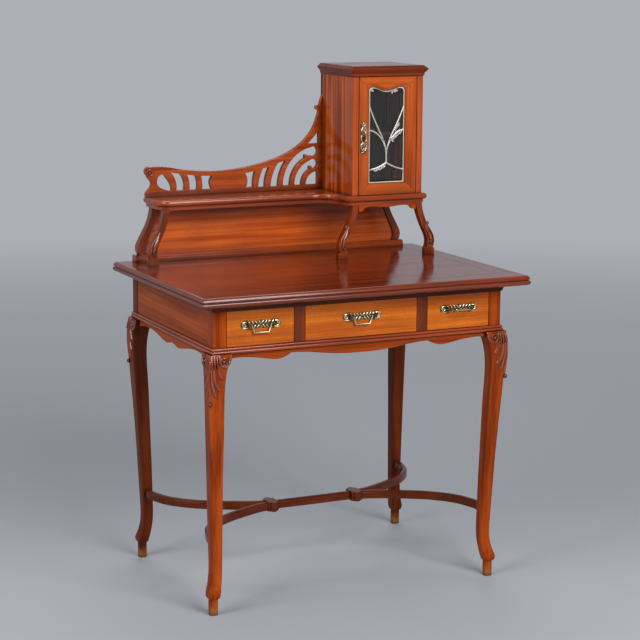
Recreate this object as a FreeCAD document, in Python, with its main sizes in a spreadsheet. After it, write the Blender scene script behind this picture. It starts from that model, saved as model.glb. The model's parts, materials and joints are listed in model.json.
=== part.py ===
import FreeCAD
import Part
import Sketcher
import math
import os
from types import SimpleNamespace

SIZES = {
    # writing table
    "top_width": 844,
    "top_depth": 600,
    "top_height": 760,
    "top_thickness": 24,
    "top_arris_inset": 8,
    "border_width": 60,
    "side_overhang": 48,
    "front_overhang": 59,
    "back_overhang": 13,
    "cove_height": 18,
    "cove_reach": 24,
    "frieze_height": 84,
    "bead_height": 14,
    "bead_reach": 6,
    "post_side": 32,
    "panel_thickness": 20,
    "panel_recess": 1,
    "front_rail_depth": 60,
    "divider_width": 27,
    "middle_drawer_width": 292,
    "runner_width": 10,
    "runner_thickness": 12,
    "guide_height": 22,
    # legs and valances
    "knee_side": 49,
    "knee_swell": 12.5,
    "leg_lean": 6,
    "front_left_lean": 11,
    "front_left_set": 5,
    "leg_arris": 2.5,
    "foot_side": 20,
    "foot_height": 40,
    "foot_arris": 4,
    "valance_drop": 24,
    "side_valance_drop": 25,
    "valance_thickness": 16,
    "valance_recess": 2,
    # stretcher
    "stretcher_height": 162,
    "stretcher_thickness": 20,
    "stretcher_width": 16,
    "stretcher_bevel": 4,
    "collar_spacing": 230,
    "collar_length": 28,
    "collar_width": 36,
    "collar_thickness": 24,
    "collar_ear_radius": 9,
    # drawers
    "drawer_gap": 1,
    "slide_gap": 0.3,
    "drawer_back_room": 57,
    "drawer_front_thickness": 20,
    "drawer_side_thickness": 9,
    "drawer_side_drop": 12,
    "drawer_bottom_thickness": 5,
    "drawer_bottom_rise": 8,
    # brass pulls and locks
    "pull_width": 100,
    "pull_height": 21,
    "pull_thickness": 2,
    "pull_rise": 7,
    "ear_spacing": 62,
    "ear_radius": 4.2,
    "ear_length": 11,
    "bail_width": 36,
    "bail_drop": 18,
    "bail_radius": 2,
    "bail_pin_radius": 1.5,
    "running_gap": 0.05,
    "keyhole_radius": 2.2,
    "keyhole_drop": 7,
    "lock_width": 44,
    "lock_height": 34,
    "lock_thickness": 10,
    "bolt_width": 16,
    "bolt_length": 24,
    "bolt_thickness": 5,
    "bolt_travel": 7,
    "bolt_gap": 0.4,
    # gallery over the back of the top
    "gallery_back_inset": 8,
    "plinth_length": 746,
    "plinth_depth": 30,
    "plinth_height": 16,
    "plinth_step": 4,
    "shelf_top": 919,
    "shelf_thickness": 15,
    "shelf_under_thickness": 9,
    "shelf_under_inset": 7,
    "shelf_round": 5,
    "shelf_left_reach": 342,
    "shelf_depth": 111,
    "shelf_sweep_start": 70,
    "cabinet_shelf_margin": 10,
    "bracket_splay": 38,
    "bracket_top": 328,
    "bracket_thickness": 17,
    "bracket_depth": 24,
    "front_bracket_depth": 19,
    "bracket_margin": 6,
    "bracket_foot_height": 17,
    "bracket_foot_width": 26,
    "back_board_thickness": 14,
    "back_board_recess": 6,
    # pierced fret
    "fret_thickness": 13,
    "fret_height": 240,
    "fret_left_reach": 342,
    "fret_rail": 13,
    "fret_scroll_radius": 12,
    "fret_knob_radius": 6,
    "fan_radius": 97,
    "fan_slot": 20,
    "fan_rib": 12,
    "fan_stile": 14,
    "bud_radius": 4.5,
    # cabinet
    "cabinet_left": 143.5,
    "cabinet_width": 196,
    "cabinet_depth": 188,
    "cabinet_height": 295,
    "cabinet_stile_width": 16,
    "cabinet_stile_depth": 32,
    "cabinet_side_thickness": 14,
    "cabinet_back_thickness": 10,
    "cabinet_shelf_thickness": 9,
    "cabinet_shelf_rise": 146,
    "cabinet_shelf_setback": 12,
    "cornice_height": 27,
    "cornice_reach": 10,
    "cabinet_valance_drop": 16,
    "cabinet_valance_thickness": 12,
    # glazed door
    "door_gap": 1.5,
    "door_end_gap": 0.6,
    "door_thickness": 18,
    "door_stile": 30,
    "door_top_rail": 25,
    "door_top_dip": 9,
    "door_bottom_rail": 28,
    "glass_thickness": 3,
    "glass_setback": 7,
    "came_width": 4,
    "came_thickness": 5,
    "escutcheon_width": 19,
    "escutcheon_height": 80,
    "escutcheon_rise": 144,
    "door_lock_width": 22,
    "door_lock_inset": 3,
    "pivot_inset": 9,
    "pivot_setback": 4,
    "pivot_radius": 2,
    "pivot_length": 9,
    "pivot_plate_length": 26,
    "pivot_plate_width": 7,
    "pivot_plate_thickness": 2,
    # one overrun for every cut that passes right through
    "overrun": 5,
}

document = FreeCAD.newDocument("WritingDesk")
sheet = document.addObject("Spreadsheet::Sheet", "Sizes")
for row, (name, number) in enumerate(SIZES.items(), start=1):
    sheet.set(f"A{row}", name)
    sheet.set(f"B{row}", str(number))
    sheet.setAlias(f"B{row}", name)
document.recompute()


class Size:
    """A length with its formula in the sheet and its value in millimetres."""

    def __init__(self, formula, value):
        self.formula = formula
        self.value = float(value)

    def __add__(self, other):
        return Size(f"({self.formula} + {other.formula})", self.value + other.value)

    def __sub__(self, other):
        return Size(f"({self.formula} - {other.formula})", self.value - other.value)

    def __mul__(self, share):
        return Size(f"({self.formula} * {share})", self.value * share)

    def __truediv__(self, share):
        return Size(f"({self.formula} / {share})", self.value / share)

    def __neg__(self):
        return self * -1

    def __float__(self):
        return self.value


ZERO = Size("0", 0)
size = SimpleNamespace(**{name: Size(f"Sizes.{name}", sheet.get(name)) for name in SIZES})

# Levels and faces that several pieces share.
half_width = size.top_width / 2
top_front = -(size.top_depth / 2)
top_back = size.top_depth / 2
top_low = size.top_height - size.top_thickness
frieze_top = top_low - size.cove_height
frieze_low = frieze_top - size.frieze_height
rail_low = frieze_low - size.bead_height
case_side = half_width - size.side_overhang
case_front = top_front + size.front_overhang
case_back = top_back - size.back_overhang
case_middle = (case_front + case_back) / 2
inner_side = case_side - size.post_side
panel_inner = case_side - size.panel_recess - size.panel_thickness
back_rail_front = case_back - size.panel_recess - size.panel_thickness
front_rail_back = case_front + size.front_rail_depth
middle_edge = size.middle_drawer_width / 2
divider_edge = middle_edge + size.divider_width

gallery_back = top_back - size.gallery_back_inset
plinth_top = size.top_height + size.plinth_height
shelf_low = size.shelf_top - size.shelf_thickness - size.shelf_under_thickness
shelf_front = gallery_back - size.shelf_depth
cabinet_right = size.cabinet_left + size.cabinet_width
cabinet_front = gallery_back - size.cabinet_depth
cabinet_top = size.shelf_top + size.cabinet_height
cabinet_shelf_front = cabinet_front - size.cabinet_shelf_margin
shelf_right = cabinet_right + size.cabinet_shelf_margin

door_left = size.cabinet_left + size.cabinet_stile_width + size.door_gap
door_right = cabinet_right - size.cabinet_stile_width - size.door_gap
door_low = size.shelf_top + size.door_end_gap
door_top = cabinet_top - size.door_end_gap
door_back = cabinet_front + size.door_thickness
glass_left = door_left + size.door_stile
glass_right = door_right - size.door_stile
glass_low = door_low + size.door_bottom_rail
glass_top = door_top - size.door_top_rail

pieces = []


def piece(label, item):
    """Names a finished sub-part."""
    item.Label = label
    pieces.append(item)
    return item


def move(item, corner):
    """Binds the place of an item to the sheet."""
    for axis, length in zip("xyz", corner):
        item.setExpression(f"Placement.Base.{axis}", length.formula)


def board(low, high):
    """A square-edged board between two opposite corners."""
    item = document.addObject("Part::Box", "Board")
    for side, start, end in zip(("Length", "Width", "Height"), low, high):
        item.setExpression(side, (end - start).formula)
    move(item, low)
    return item


def rod(radius, length, start, direction):
    """A round rod from a point along a direction."""
    item = document.addObject("Part::Cylinder", "Rod")
    item.setExpression("Radius", radius.formula)
    item.setExpression("Height", length.formula)
    up = FreeCAD.Vector(0, 0, 1)
    item.Placement = FreeCAD.Placement(FreeCAD.Vector(), FreeCAD.Rotation(up, FreeCAD.Vector(*direction)))
    move(item, start)
    return item


def group(items):
    """Separate solids kept in one node."""
    item = document.addObject("Part::Compound", "Group")
    item.Links = items
    return item


def cut(base, tools):
    """A piece with the room of others taken out of it."""
    item = document.addObject("Part::Cut", "Cut")
    item.Base = base
    item.Tool = group(tools)
    return item


def joined(items):
    """Shapes worked in one piece of wood or brass."""
    item = document.addObject("Part::MultiFuse", "Joined")
    item.Shapes = items
    return item


def mirrored(source, axis, level):
    """The opposite hand of a piece."""
    item = document.addObject("Part::Mirroring", "Mirrored")
    item.Source = source
    item.Normal = FreeCAD.Vector(*(float(axis == name) for name in "xyz"))
    item.setExpression(f"Base.{axis}", level.formula)
    return item


def shaped(shape):
    """A curved piece that is drawn with splines and lofts."""
    item = document.addObject("Part::Feature", "Shaped")
    item.Shape = shape
    return item


def spot(x, y, z):
    return FreeCAD.Vector(float(x), float(y), float(z))


def sketch(body, role, level, points):
    """A closed outline of straight lines whose corners follow the sheet."""
    item = body.newObject("Sketcher::SketchObject", "Outline")
    plane = next(part for part in body.Origin.OriginFeatures if part.Role == role)
    item.AttachmentSupport = [(plane, "")]
    item.MapMode = "FlatFace"
    item.setExpression("AttachmentOffset.Base.z", level.formula)
    corners = [spot(x, y, ZERO) for x, y in points]
    count = len(points)
    for index in range(count):
        line = Part.LineSegment(corners[index], corners[(index + 1) % count])
        item.addGeometry(line, False)
    for index in range(count):
        item.addConstraint(Sketcher.Constraint("Coincident", index, 2, (index + 1) % count, 1))
    for index, point in enumerate(points):
        for kind, length in zip(("DistanceX", "DistanceY"), point):
            number = item.addConstraint(Sketcher.Constraint(kind, -1, 1, index, 1, length.value))
            item.setExpression(f"Constraints[{number}]", length.formula)
    return item


def pad(body, outline, length, midplane=False):
    """A straight length of the outline."""
    item = body.newObject("PartDesign::Pad", "Pad")
    item.Profile = outline
    item.setExpression("Length", length.formula)
    item.Midplane = midplane
    return item


def square(x, y, side, arris):
    """A square with its four arrises taken off."""
    far_x = x + side
    far_y = y + side
    return [
        (x + arris, y),
        (far_x - arris, y),
        (far_x, y + arris),
        (far_x, far_y - arris),
        (far_x - arris, far_y),
        (x + arris, far_y),
        (x, far_y - arris),
        (x, y + arris),
    ]


def curve(points):
    """A smooth edge through the points."""
    line = Part.BSplineCurve()
    line.interpolate(points)
    return line.toShape()


def chain(points):
    """Straight edges from point to point."""
    return [Part.LineSegment(start, end).toShape() for start, end in zip(points, points[1:])]


def thick(edges, direction):
    """A flat outline given its thickness."""
    return Part.Face(Part.Wire(edges)).extrude(direction)


def traced(outline, place):
    """A closed profile: one point in a step is a line to it, two are an arc through the first."""
    edges = []
    here = place(*outline[0][0])
    for step in outline[1:] + outline[:1]:
        ends = [place(*point) for point in step]
        if len(ends) == 1:
            edges.append(Part.LineSegment(here, ends[0]).toShape())
        else:
            edges.append(Part.Arc(here, ends[0], ends[1]).toShape())
        here = ends[-1]
    return Part.Wire(edges)


def mitred_run(outline, start_place, end_place):
    """A straight moulding between two mitred or square ends."""
    return Part.makeLoft([traced(outline, start_place), traced(outline, end_place)], True, True)


def mitred_frame(outline, side, front, back, mitred_back):
    """The runs of a moulding round the front and sides, and round the back too where it is mitred there."""

    def front_left(out, up):
        return spot(-side - out, front - out, up)

    def front_right(out, up):
        return spot(side + out, front - out, up)

    def back_left(out, up):
        return spot(-side - out, back + out if mitred_back else back, up)

    def back_right(out, up):
        return spot(side + out, back + out if mitred_back else back, up)

    runs = [
        mitred_run(outline, front_left, front_right),
        mitred_run(outline, front_left, back_left),
        mitred_run(outline, front_right, back_right),
    ]
    if mitred_back:
        runs.append(mitred_run(outline, back_left, back_right))
    return shaped(Part.makeCompound(runs))


# Height along the shaft, side of its square, reach of its outer corner past the case, and part of the lean.
LEG_SHARES = (
    (0.0, 0.5, -0.37, 1.0),
    (0.018, 0.6, -0.18, 1.0),
    (0.04, 0.58, -0.46, 1.0),
    (0.095, 0.535, -1.0, 1.0),
    (0.19, 0.55, -0.99, 0.98),
    (0.36, 0.6, -0.64, 0.88),
    (0.55, 0.655, -0.14, 0.65),
    (0.74, 0.73, 0.5, 0.34),
    (0.9, 0.82, 0.97, 0.1),
    (0.965, 0.95, 0.98, 0.02),
    (1.0, 1.06, 0.8, 0.0),
)
ANKLE = LEG_SHARES[4]


def leg_section(share_row, lean, set_back):
    """Corner nearest the outside and side of a leg's square at one height, inward from the case corner."""
    height_share, side_share, reach_share, lean_share = share_row
    corner = -(size.knee_swell * reach_share)
    return corner - lean * lean_share, corner + set_back * lean_share, size.knee_side * side_share


def make_leg(hand, lean, set_back):
    """Curved square leg: worn foot block, toe, shaft, knee and the post behind the frieze."""
    body = document.addObject("PartDesign::Body", "Leg")
    move(body, (case_side * -hand, case_front, ZERO))

    def outline(level, points):
        return sketch(body, "XY_Plane", level, [(x * hand, y) for x, y in points])

    outlines = []
    for share_row in LEG_SHARES:
        level = size.foot_height + (rail_low - size.foot_height) * share_row[0]
        x, y, side = leg_section(share_row, lean, set_back)
        outlines.append(outline(level, square(x, y, side, size.leg_arris)))
    shaft = body.newObject("PartDesign::AdditiveLoft", "Shaft")
    shaft.Profile = outlines[0]
    shaft.Sections = outlines[1:]
    x, y, side = leg_section(LEG_SHARES[0], lean, set_back)
    margin = (side - size.foot_side) / 2
    foot = square(x + margin, y + margin, size.foot_side, size.foot_arris)
    pad(body, outline(ZERO, foot), size.foot_height)
    post = [(ZERO, ZERO), (size.post_side, ZERO), (size.post_side, size.post_side), (ZERO, size.post_side)]
    pad(body, outline(rail_low, post), top_low - rail_low)
    return body


front_left_leg = piece("leg_front_left", make_leg(1, size.front_left_lean, size.front_left_set))
front_right_leg = piece("leg_front_right", make_leg(-1, size.leg_lean, ZERO))
back_right_leg = piece("leg_back_right", mirrored(front_right_leg, "y", case_middle))
back_left_leg = piece("leg_back_left", mirrored(back_right_leg, "x", ZERO))
legs = [front_left_leg, front_right_leg, back_left_leg, back_right_leg]


def make_rails():
    """Frieze panels and rails between the four posts."""
    side_front = case_front + size.post_side
    side_back = case_back - size.post_side
    left = board(
        (size.panel_recess - case_side, side_front, rail_low),
        (-panel_inner, side_back, top_low),
    )
    piece("side_rail_left", left)
    piece("side_rail_right", mirrored(left, "x", ZERO))
    back = board(
        (-inner_side, back_rail_front, rail_low),
        (inner_side, back_rail_front + size.panel_thickness, top_low),
    )
    piece("back_rail", back)
    lower = board((-inner_side, case_front, rail_low), (inner_side, front_rail_back, frieze_low))
    piece("front_drawer_rail", lower)
    upper = board((-inner_side, case_front, frieze_top), (inner_side, front_rail_back, top_low))
    lock_back = case_front + size.drawer_front_thickness
    mortise_side = size.bolt_width / 2 + size.bolt_gap
    mortise = board(
        (-mortise_side, lock_back, frieze_top - size.overrun),
        (mortise_side, lock_back + size.lock_thickness, frieze_top + size.bolt_travel + size.drawer_gap),
    )
    piece("front_top_rail", cut(upper, [mortise]))
    divider = board((-divider_edge, case_front, frieze_low), (-middle_edge, front_rail_back, frieze_top))
    piece("drawer_dividers", group([divider, mirrored(divider, "x", ZERO)]))


def make_runners():
    """Runners, guides and kickers that carry and steer the drawers."""
    runner_low = frieze_low - size.runner_thickness
    kicker_top = frieze_top + size.runner_thickness
    guide_top = frieze_low + size.guide_height
    post_front = case_back - size.post_side
    strips = []
    for left, right, inward, back in (
        (-panel_inner, -inner_side, ZERO, post_front),
        (-divider_edge, -middle_edge, size.runner_width, back_rail_front),
    ):
        wide_left = left - inward
        wide_right = right + size.runner_width
        strips.append(board((wide_left, front_rail_back, runner_low), (wide_right, back, frieze_low)))
        strips.append(board((left, front_rail_back, frieze_low), (right, back, guide_top)))
        strips.append(board((wide_left, front_rail_back, frieze_top), (wide_right, back, kicker_top)))
    twins = [mirrored(strip, "x", ZERO) for strip in strips]
    piece("drawer_runners", group(strips + twins))


# Half of the front apron from its middle: place along the half span and drop of the lower edge.
FRONT_VALANCE_SHARES = (
    ((0.0, 0.98), (0.14, 0.94), (0.26, 0.78), (0.37, 0.56), (0.46, 0.45), (0.525, 0.42)),
    ((0.525, 0.42), (0.56, 0.7), (0.615, 0.92), (0.71, 0.78), (0.82, 0.54), (0.91, 0.46), (1.0, 0.6)),
)
# Half of a side apron in the same way.
SIDE_VALANCE_SHARES = (
    (
        (0.0, 0.76), (0.05, 0.82), (0.14, 0.99), (0.31, 0.82),
        (0.5, 0.52), (0.68, 0.4), (0.85, 0.52), (1.0, 0.8),
    ),
)


def valance_outline(shares, half_span, drop, place):
    """Straight top edge and scalloped lower edge, alike on both hands."""
    lower = []
    for stretch in shares:
        for hand in (1, -1):
            points = [place(half_span * (along * hand), -(drop * down)) for along, down in stretch]
            lower.append(curve(points))
    end_down = -(drop * shares[-1][-1][1])
    ends = []
    for hand in (1, -1):
        ends.append(place(half_span * hand, end_down))
        ends.append(place(half_span * hand, ZERO))
    upright = Part.LineSegment(ends[0], ends[1]).toShape()
    top = Part.LineSegment(ends[1], ends[3]).toShape()
    other = Part.LineSegment(ends[3], ends[2]).toShape()
    return Part.__sortEdges__(lower + [upright, top, other])


def make_valances():
    """Scalloped aprons under the front rail and the side panels, scribed to the knees."""
    front_face = case_front + size.valance_recess

    def on_front(along, up):
        return spot(along, front_face, rail_low + up)

    outline = valance_outline(FRONT_VALANCE_SHARES, inner_side, size.valance_drop, on_front)
    front = shaped(thick(outline, spot(ZERO, size.valance_thickness, ZERO)))
    piece("valance_front", cut(front, legs))
    side_face = size.valance_recess - case_side
    half_span = (case_back - case_front) / 2 - size.post_side

    def on_side(along, up):
        return spot(side_face, case_middle + along, rail_low + up)

    outline = valance_outline(SIDE_VALANCE_SHARES, half_span, size.side_valance_drop, on_side)
    side = shaped(thick(outline, spot(size.valance_thickness, ZERO, ZERO)))
    left = cut(side, legs)
    piece("side_valances", group([left, mirrored(left, "x", ZERO)]))


# Two rounded reeds: steps along the bead's reach and height.
BEAD_SHARES = (
    ((0.0, 0.0),),
    ((0.55, 0.0),),
    ((1.0, 0.27), (0.55, 0.54)),
    ((0.4, 0.56),),
    ((0.72, 0.78), (0.4, 1.0)),
    ((0.0, 1.0),),
)
# Small fillet, hollow and upper fillet under the top.
COVE_SHARES = (
    ((0.0, 0.0),),
    ((0.14, 0.0),),
    ((0.14, 0.18),),
    ((0.3, 0.6), (0.78, 0.78)),
    ((1.0, 0.78),),
    ((1.0, 1.0),),
    ((0.0, 1.0),),
)
# Edge of the top: inward in shares of the arris inset, upward in shares of the thickness.
TOP_EDGE_SHARES = (
    ((-0.9, 0.0),),
    ((-0.3, 0.1),),
    ((0.0, 0.3), (-0.25, 0.48)),
    ((-0.5, 0.5),),
    ((-0.5, 0.58),),
    ((-0.15, 0.6),),
    ((-0.38, 0.845), (-1.0, 1.0)),
)


def scaled(shares, reach, height, base):
    """A profile of shares at its real size."""
    return [[(reach * out, base + height * up) for out, up in step] for step in shares]


def make_mouldings():
    """Reeded bead below the drawers and hollow moulding under the top, mitred at the front corners."""
    bead = scaled(BEAD_SHARES, size.bead_reach, size.bead_height, rail_low)
    piece("frieze_bead", mitred_frame(bead, case_side, case_front, case_back, False))
    cove = scaled(COVE_SHARES, size.cove_reach, size.cove_height, frieze_top)
    piece("top_cove_moulding", mitred_frame(cove, case_side, case_front, case_back, False))


def make_top():
    """Centre panel in a border of four mitred boards with a moulded edge."""
    edge = scaled(TOP_EDGE_SHARES, size.top_arris_inset, size.top_thickness, top_low)
    edge.append([(-size.border_width, size.top_height)])
    edge.append([(-size.border_width, top_low)])
    piece("top_borders", mitred_frame(edge, half_width, top_front, top_back, True))
    panel_side = half_width - size.border_width
    panel = board(
        (-panel_side, top_front + size.border_width, top_low),
        (panel_side, top_back - size.border_width, size.top_height),
    )
    piece("top_panel", panel)


# Plan of a stretcher arm from its collar to its leg.
ARM_SHARES = (
    (0.0, 0.0),
    (0.13, 0.03),
    (0.27, 0.09),
    (0.47, 0.19),
    (0.66, 0.31),
    (0.82, 0.46),
    (0.93, 0.63),
    (0.985, 0.81),
    (1.0, 1.0),
)


def stretcher_section(level):
    """Across and up: a bar with its upper arrises moulded away."""
    half = size.stretcher_width / 2
    top = level + size.stretcher_thickness
    shoulder = top - size.stretcher_bevel
    crown = half - size.stretcher_bevel
    return [(-half, level), (half, level), (half, shoulder), (crown, top), (-crown, top), (-half, shoulder)]


def make_stretcher():
    """Straight bar between two collars, with a curved arm from each collar to each leg."""
    level = size.stretcher_height
    half_space = size.collar_spacing / 2
    collar_outer = half_space + size.collar_length / 2
    collar_inner = half_space - size.collar_length / 2

    body = document.addObject("PartDesign::Body", "Bar")
    section = stretcher_section(level)
    pad(body, sketch(body, "YZ_Plane", ZERO, section), collar_inner * 2, midplane=True)
    move(body, (ZERO, case_middle, ZERO))
    piece("stretcher_bar", body)

    collar_half = size.collar_width / 2
    collar_low = level - (size.collar_thickness - size.stretcher_thickness) / 2
    block = board(
        (-collar_outer, case_middle - collar_half, collar_low),
        (-collar_inner, case_middle + collar_half, collar_low + size.collar_thickness),
    )
    ears = []
    for ear_place in (case_middle - collar_half, case_middle + collar_half):
        start = (-half_space, ear_place, collar_low)
        ears.append(rod(size.collar_ear_radius, size.collar_thickness, start, (0, 0, 1)))
    left_collar = joined([block] + ears)
    piece("stretcher_collars", group([left_collar, mirrored(left_collar, "x", ZERO)]))

    left_arm = make_arm(-1, collar_outer, size.front_left_lean, size.front_left_set, section)
    right_arm = make_arm(1, collar_outer, size.leg_lean, ZERO, section)
    back_arm = mirrored(right_arm, "y", case_middle)
    arms = group([left_arm, right_arm, back_arm, mirrored(back_arm, "x", ZERO)])
    piece("stretcher_arms", cut(arms, legs))


def make_arm(hand, start, lean, set_back, section):
    """A curved arm from the end of a collar into the middle of a front leg."""
    corner_x, corner_y, side = leg_section(ANKLE, lean, set_back)
    leg_x = case_side - corner_x - side / 2
    leg_y = (case_back - case_front) / 2 - corner_y - side / 2
    lane = size.stretcher_width / 2
    path = []
    for along, across in ARM_SHARES:
        x = start + (leg_x - start) * along
        y = lane + (leg_y - lane) * across
        path.append(spot(x * hand, case_middle - y, ZERO))
    line = Part.BSplineCurve()
    leaving = spot(lane * hand, ZERO, ZERO)
    arriving = spot(ZERO, -lane, ZERO)
    line.interpolate(path, InitialTangent=leaving, FinalTangent=arriving)
    rings = []
    last = len(ARM_SHARES) * 3
    for index in range(last + 1):
        station = line.FirstParameter + (line.LastParameter - line.FirstParameter) * index / last
        along = line.tangent(station)[0]
        across = FreeCAD.Vector(-along.y, along.x, 0)
        here = line.value(station)
        ring = [here + across * float(out) + spot(ZERO, ZERO, up) for out, up in section]
        rings.append(Part.makePolygon(ring + ring[:1]))
    return shaped(Part.makeLoft(rings, True, True))


# Lobes of half a pull plate, from the middle of its crest round to the middle of its foot.
PULL_SHARES = (
    ((0.0, 1.0), (0.1, 0.72), (0.24, 0.85)),
    ((0.24, 0.85), (0.38, 0.5), (0.55, 0.8)),
    ((0.55, 0.8), (0.78, 0.95), (0.93, 0.5), (1.0, 0.0)),
    ((1.0, 0.0), (0.92, -0.5), (0.76, -0.45)),
    ((0.76, -0.45), (0.66, -0.95), (0.5, -0.9), (0.42, -0.5)),
    ((0.42, -0.5), (0.22, -0.8), (0.0, -0.6)),
)


def plate(half_wide, half_high, shares, place, direction):
    """A thin cast plate with a scrolled outline, alike on both hands."""
    edges = []
    for lobe in shares:
        for hand in (1, -1):
            edges.append(curve([place(half_wide * (out * hand), half_high * up) for out, up in lobe]))
    return thick(Part.__sortEdges__(edges), direction)


def keyhole(centre, depth):
    """Round head and straight slot of a keyhole, cut right through from the front."""
    x, y, z = centre
    head = rod(size.keyhole_radius, depth, centre, (0, 1, 0))
    half_slot = size.keyhole_radius / 2
    slot = board((x - half_slot, y, z - size.keyhole_drop), (x + half_slot, y + depth, z))
    return [head, slot]


def make_pull(name, middle, level, keyed):
    """Cast plate with two ears, and the bail that swings in them."""
    face = case_front

    def on_front(along, up):
        return spot(middle + along, face, level + up)

    back = shaped(
        plate(
            size.pull_width / 2,
            size.pull_height / 2,
            PULL_SHARES,
            on_front,
            spot(ZERO, -size.pull_thickness, ZERO),
        )
    )
    axis_place = face - size.ear_length + size.ear_radius
    ears = []
    bores = []
    for hand in (1, -1):
        ear_middle = middle + size.ear_spacing / 2 * hand
        ears.append(rod(size.ear_radius, size.ear_length, (ear_middle, face, level), (0, -1, 0)))
        bore_start = (ear_middle - size.ear_radius - size.overrun, axis_place, level)
        bore_length = (size.ear_radius + size.overrun) * 2
        bores.append(rod(size.bail_pin_radius + size.running_gap, bore_length, bore_start, (1, 0, 0)))
    holes = bores
    if keyed:
        entry = (middle, face - size.pull_thickness - size.overrun, level)
        holes = bores + keyhole(entry, size.overrun * 2)
    piece(f"drawer_{name}_pull", cut(joined([back] + ears), holes))
    return axis_place


def make_bail(middle, axis_place, level, raised):
    """Bent brass bail whose two turned-out ends lie in the ears."""
    arm_place = size.ear_spacing / 2 - size.ear_radius - size.bail_radius - size.running_gap
    pin_end = size.ear_spacing / 2 + size.ear_radius
    reach = size.bail_drop
    drop = (-reach, ZERO) if raised else (ZERO, -reach)
    rods = []
    for hand in (1, -1):
        shoulder = spot(middle + arm_place * hand, axis_place, level)
        corner = spot(middle + size.bail_width / 2 * hand, axis_place + drop[0], level + drop[1])
        other = spot(middle - size.bail_width / 2 * hand, axis_place + drop[0], level + drop[1])
        side = FreeCAD.Vector(hand, 0, 0)
        arm = corner - shoulder
        pin_length = float(pin_end - arm_place)
        rods.append(Part.makeCylinder(float(size.bail_pin_radius), pin_length, shoulder, side))
        rods.append(Part.makeCylinder(float(size.bail_radius), arm.Length, shoulder, arm))
        rods.append(Part.makeSphere(float(size.bail_radius), shoulder))
        rods.append(Part.makeSphere(float(size.bail_radius), corner))
        if hand == 1:
            grip = other - corner
            rods.append(Part.makeCylinder(float(size.bail_radius), grip.Length, corner, grip))
    return shaped(rods[0].multiFuse(rods[1:]))


def make_drawer(name, left, right, keyed, raised):
    """Drawer front, box, bottom, pull and bail."""
    front_left = left + size.drawer_gap
    front_right = right - size.drawer_gap
    low = frieze_low + size.drawer_gap
    high = frieze_top - size.drawer_gap
    middle = (left + right) / 2
    back_face = case_front + size.drawer_front_thickness
    tail = back_rail_front - size.drawer_back_room
    face = board((front_left, case_front, low), (front_right, back_face, high))
    level = (low + high) / 2 + size.pull_rise
    if keyed:
        depth = size.drawer_front_thickness + size.overrun * 2
        face = cut(face, keyhole((middle, case_front - size.overrun, level), depth))
    piece(f"drawer_{name}_front", face)

    side_low = frieze_low + size.slide_gap
    side_high = high - size.drawer_side_drop
    inner_left = front_left + size.drawer_side_thickness
    inner_right = front_right - size.drawer_side_thickness
    tail_front = tail - size.drawer_side_thickness
    bottom_low = side_low + size.drawer_bottom_rise
    bottom_high = bottom_low + size.drawer_bottom_thickness
    sides = [
        board((front_left, back_face, side_low), (inner_left, tail, side_high)),
        board((inner_right, back_face, side_low), (front_right, tail, side_high)),
        board((inner_left, tail_front, bottom_high), (inner_right, tail, side_high)),
    ]
    piece(f"drawer_{name}_box", group(sides))
    bottom = board((inner_left, back_face, bottom_low), (inner_right, tail, bottom_high))
    piece(f"drawer_{name}_bottom", bottom)

    axis_place = make_pull(name, middle, level, keyed)
    piece(f"drawer_{name}_bail", make_bail(middle, axis_place, level, raised))


def make_drawer_lock():
    """Lock behind the middle drawer front, whose bolt rises into the top rail."""
    half = size.lock_width / 2
    face = case_front + size.drawer_front_thickness
    high = frieze_top - size.drawer_gap
    low = high - size.lock_height
    bolt_half = size.bolt_width / 2
    bolt_front = face + (size.lock_thickness - size.bolt_thickness) / 2
    bolt_back = bolt_front + size.bolt_thickness
    bolt_low = high - size.bolt_length
    gap = size.bolt_gap
    case = board((-half, face, low), (half, face + size.lock_thickness, high))
    channel = board(
        (-bolt_half - gap, bolt_front - gap, bolt_low - gap),
        (bolt_half + gap, bolt_back + gap, high + size.overrun),
    )
    piece("drawer_lock", cut(case, [channel]))
    piece("drawer_lock_bolt", board((-bolt_half, bolt_front, bolt_low), (bolt_half, bolt_back, high)))


# Outer and inner edge of a gallery bracket: outward in shares of its splay, downward in shares of its rise.
BRACKET_OUTER_SHARES = (
    (0.0, 0.0), (0.08, 0.17), (0.28, 0.36), (0.58, 0.55),
    (0.87, 0.72), (1.0, 0.84), (0.97, 0.93), (0.87, 1.0),
)
BRACKET_INNER_SHARES = (
    (0.0, 0.0), (0.1, 0.17), (0.3, 0.36), (0.55, 0.55), (0.78, 0.7), (0.9, 0.84), (0.88, 0.93), (0.8, 1.0),
)


def bracket_edges(top_x, hand, rise):
    """Points of the outer and the inner edge of a bracket in the upright plane."""
    outer = []
    for out, down in BRACKET_OUTER_SHARES:
        outer.append((top_x + size.bracket_splay * (out * hand), shelf_low - rise * down))
    inner = []
    for out, down in BRACKET_INNER_SHARES:
        place = size.bracket_splay * out - size.bracket_thickness
        inner.append((top_x + place * hand, shelf_low - rise * down))
    return outer, inner


def bracket(top_x, hand, front, depth, rise, footed):
    """An S-shaped bracket, with or without a foot block of its own."""
    outer, inner = bracket_edges(top_x, hand, rise)

    def at(points):
        return [spot(x, front, z) for x, z in points]

    lower = [inner[-1], outer[-1]]
    if footed:
        heel = top_x + (size.bracket_splay * BRACKET_OUTER_SHARES[5][0]) * hand
        toe = heel - size.bracket_foot_width * hand
        base = inner[-1][1] - size.bracket_foot_height
        lower = [inner[-1], (toe, inner[-1][1]), (toe, base), (heel, base), (heel, outer[-1][1]), outer[-1]]
    edges = [curve(at(outer)), curve(at(inner))]
    edges += chain(at([outer[0], inner[0]])) + chain(at(lower))
    return thick(Part.__sortEdges__(edges), spot(ZERO, depth, ZERO))


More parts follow.
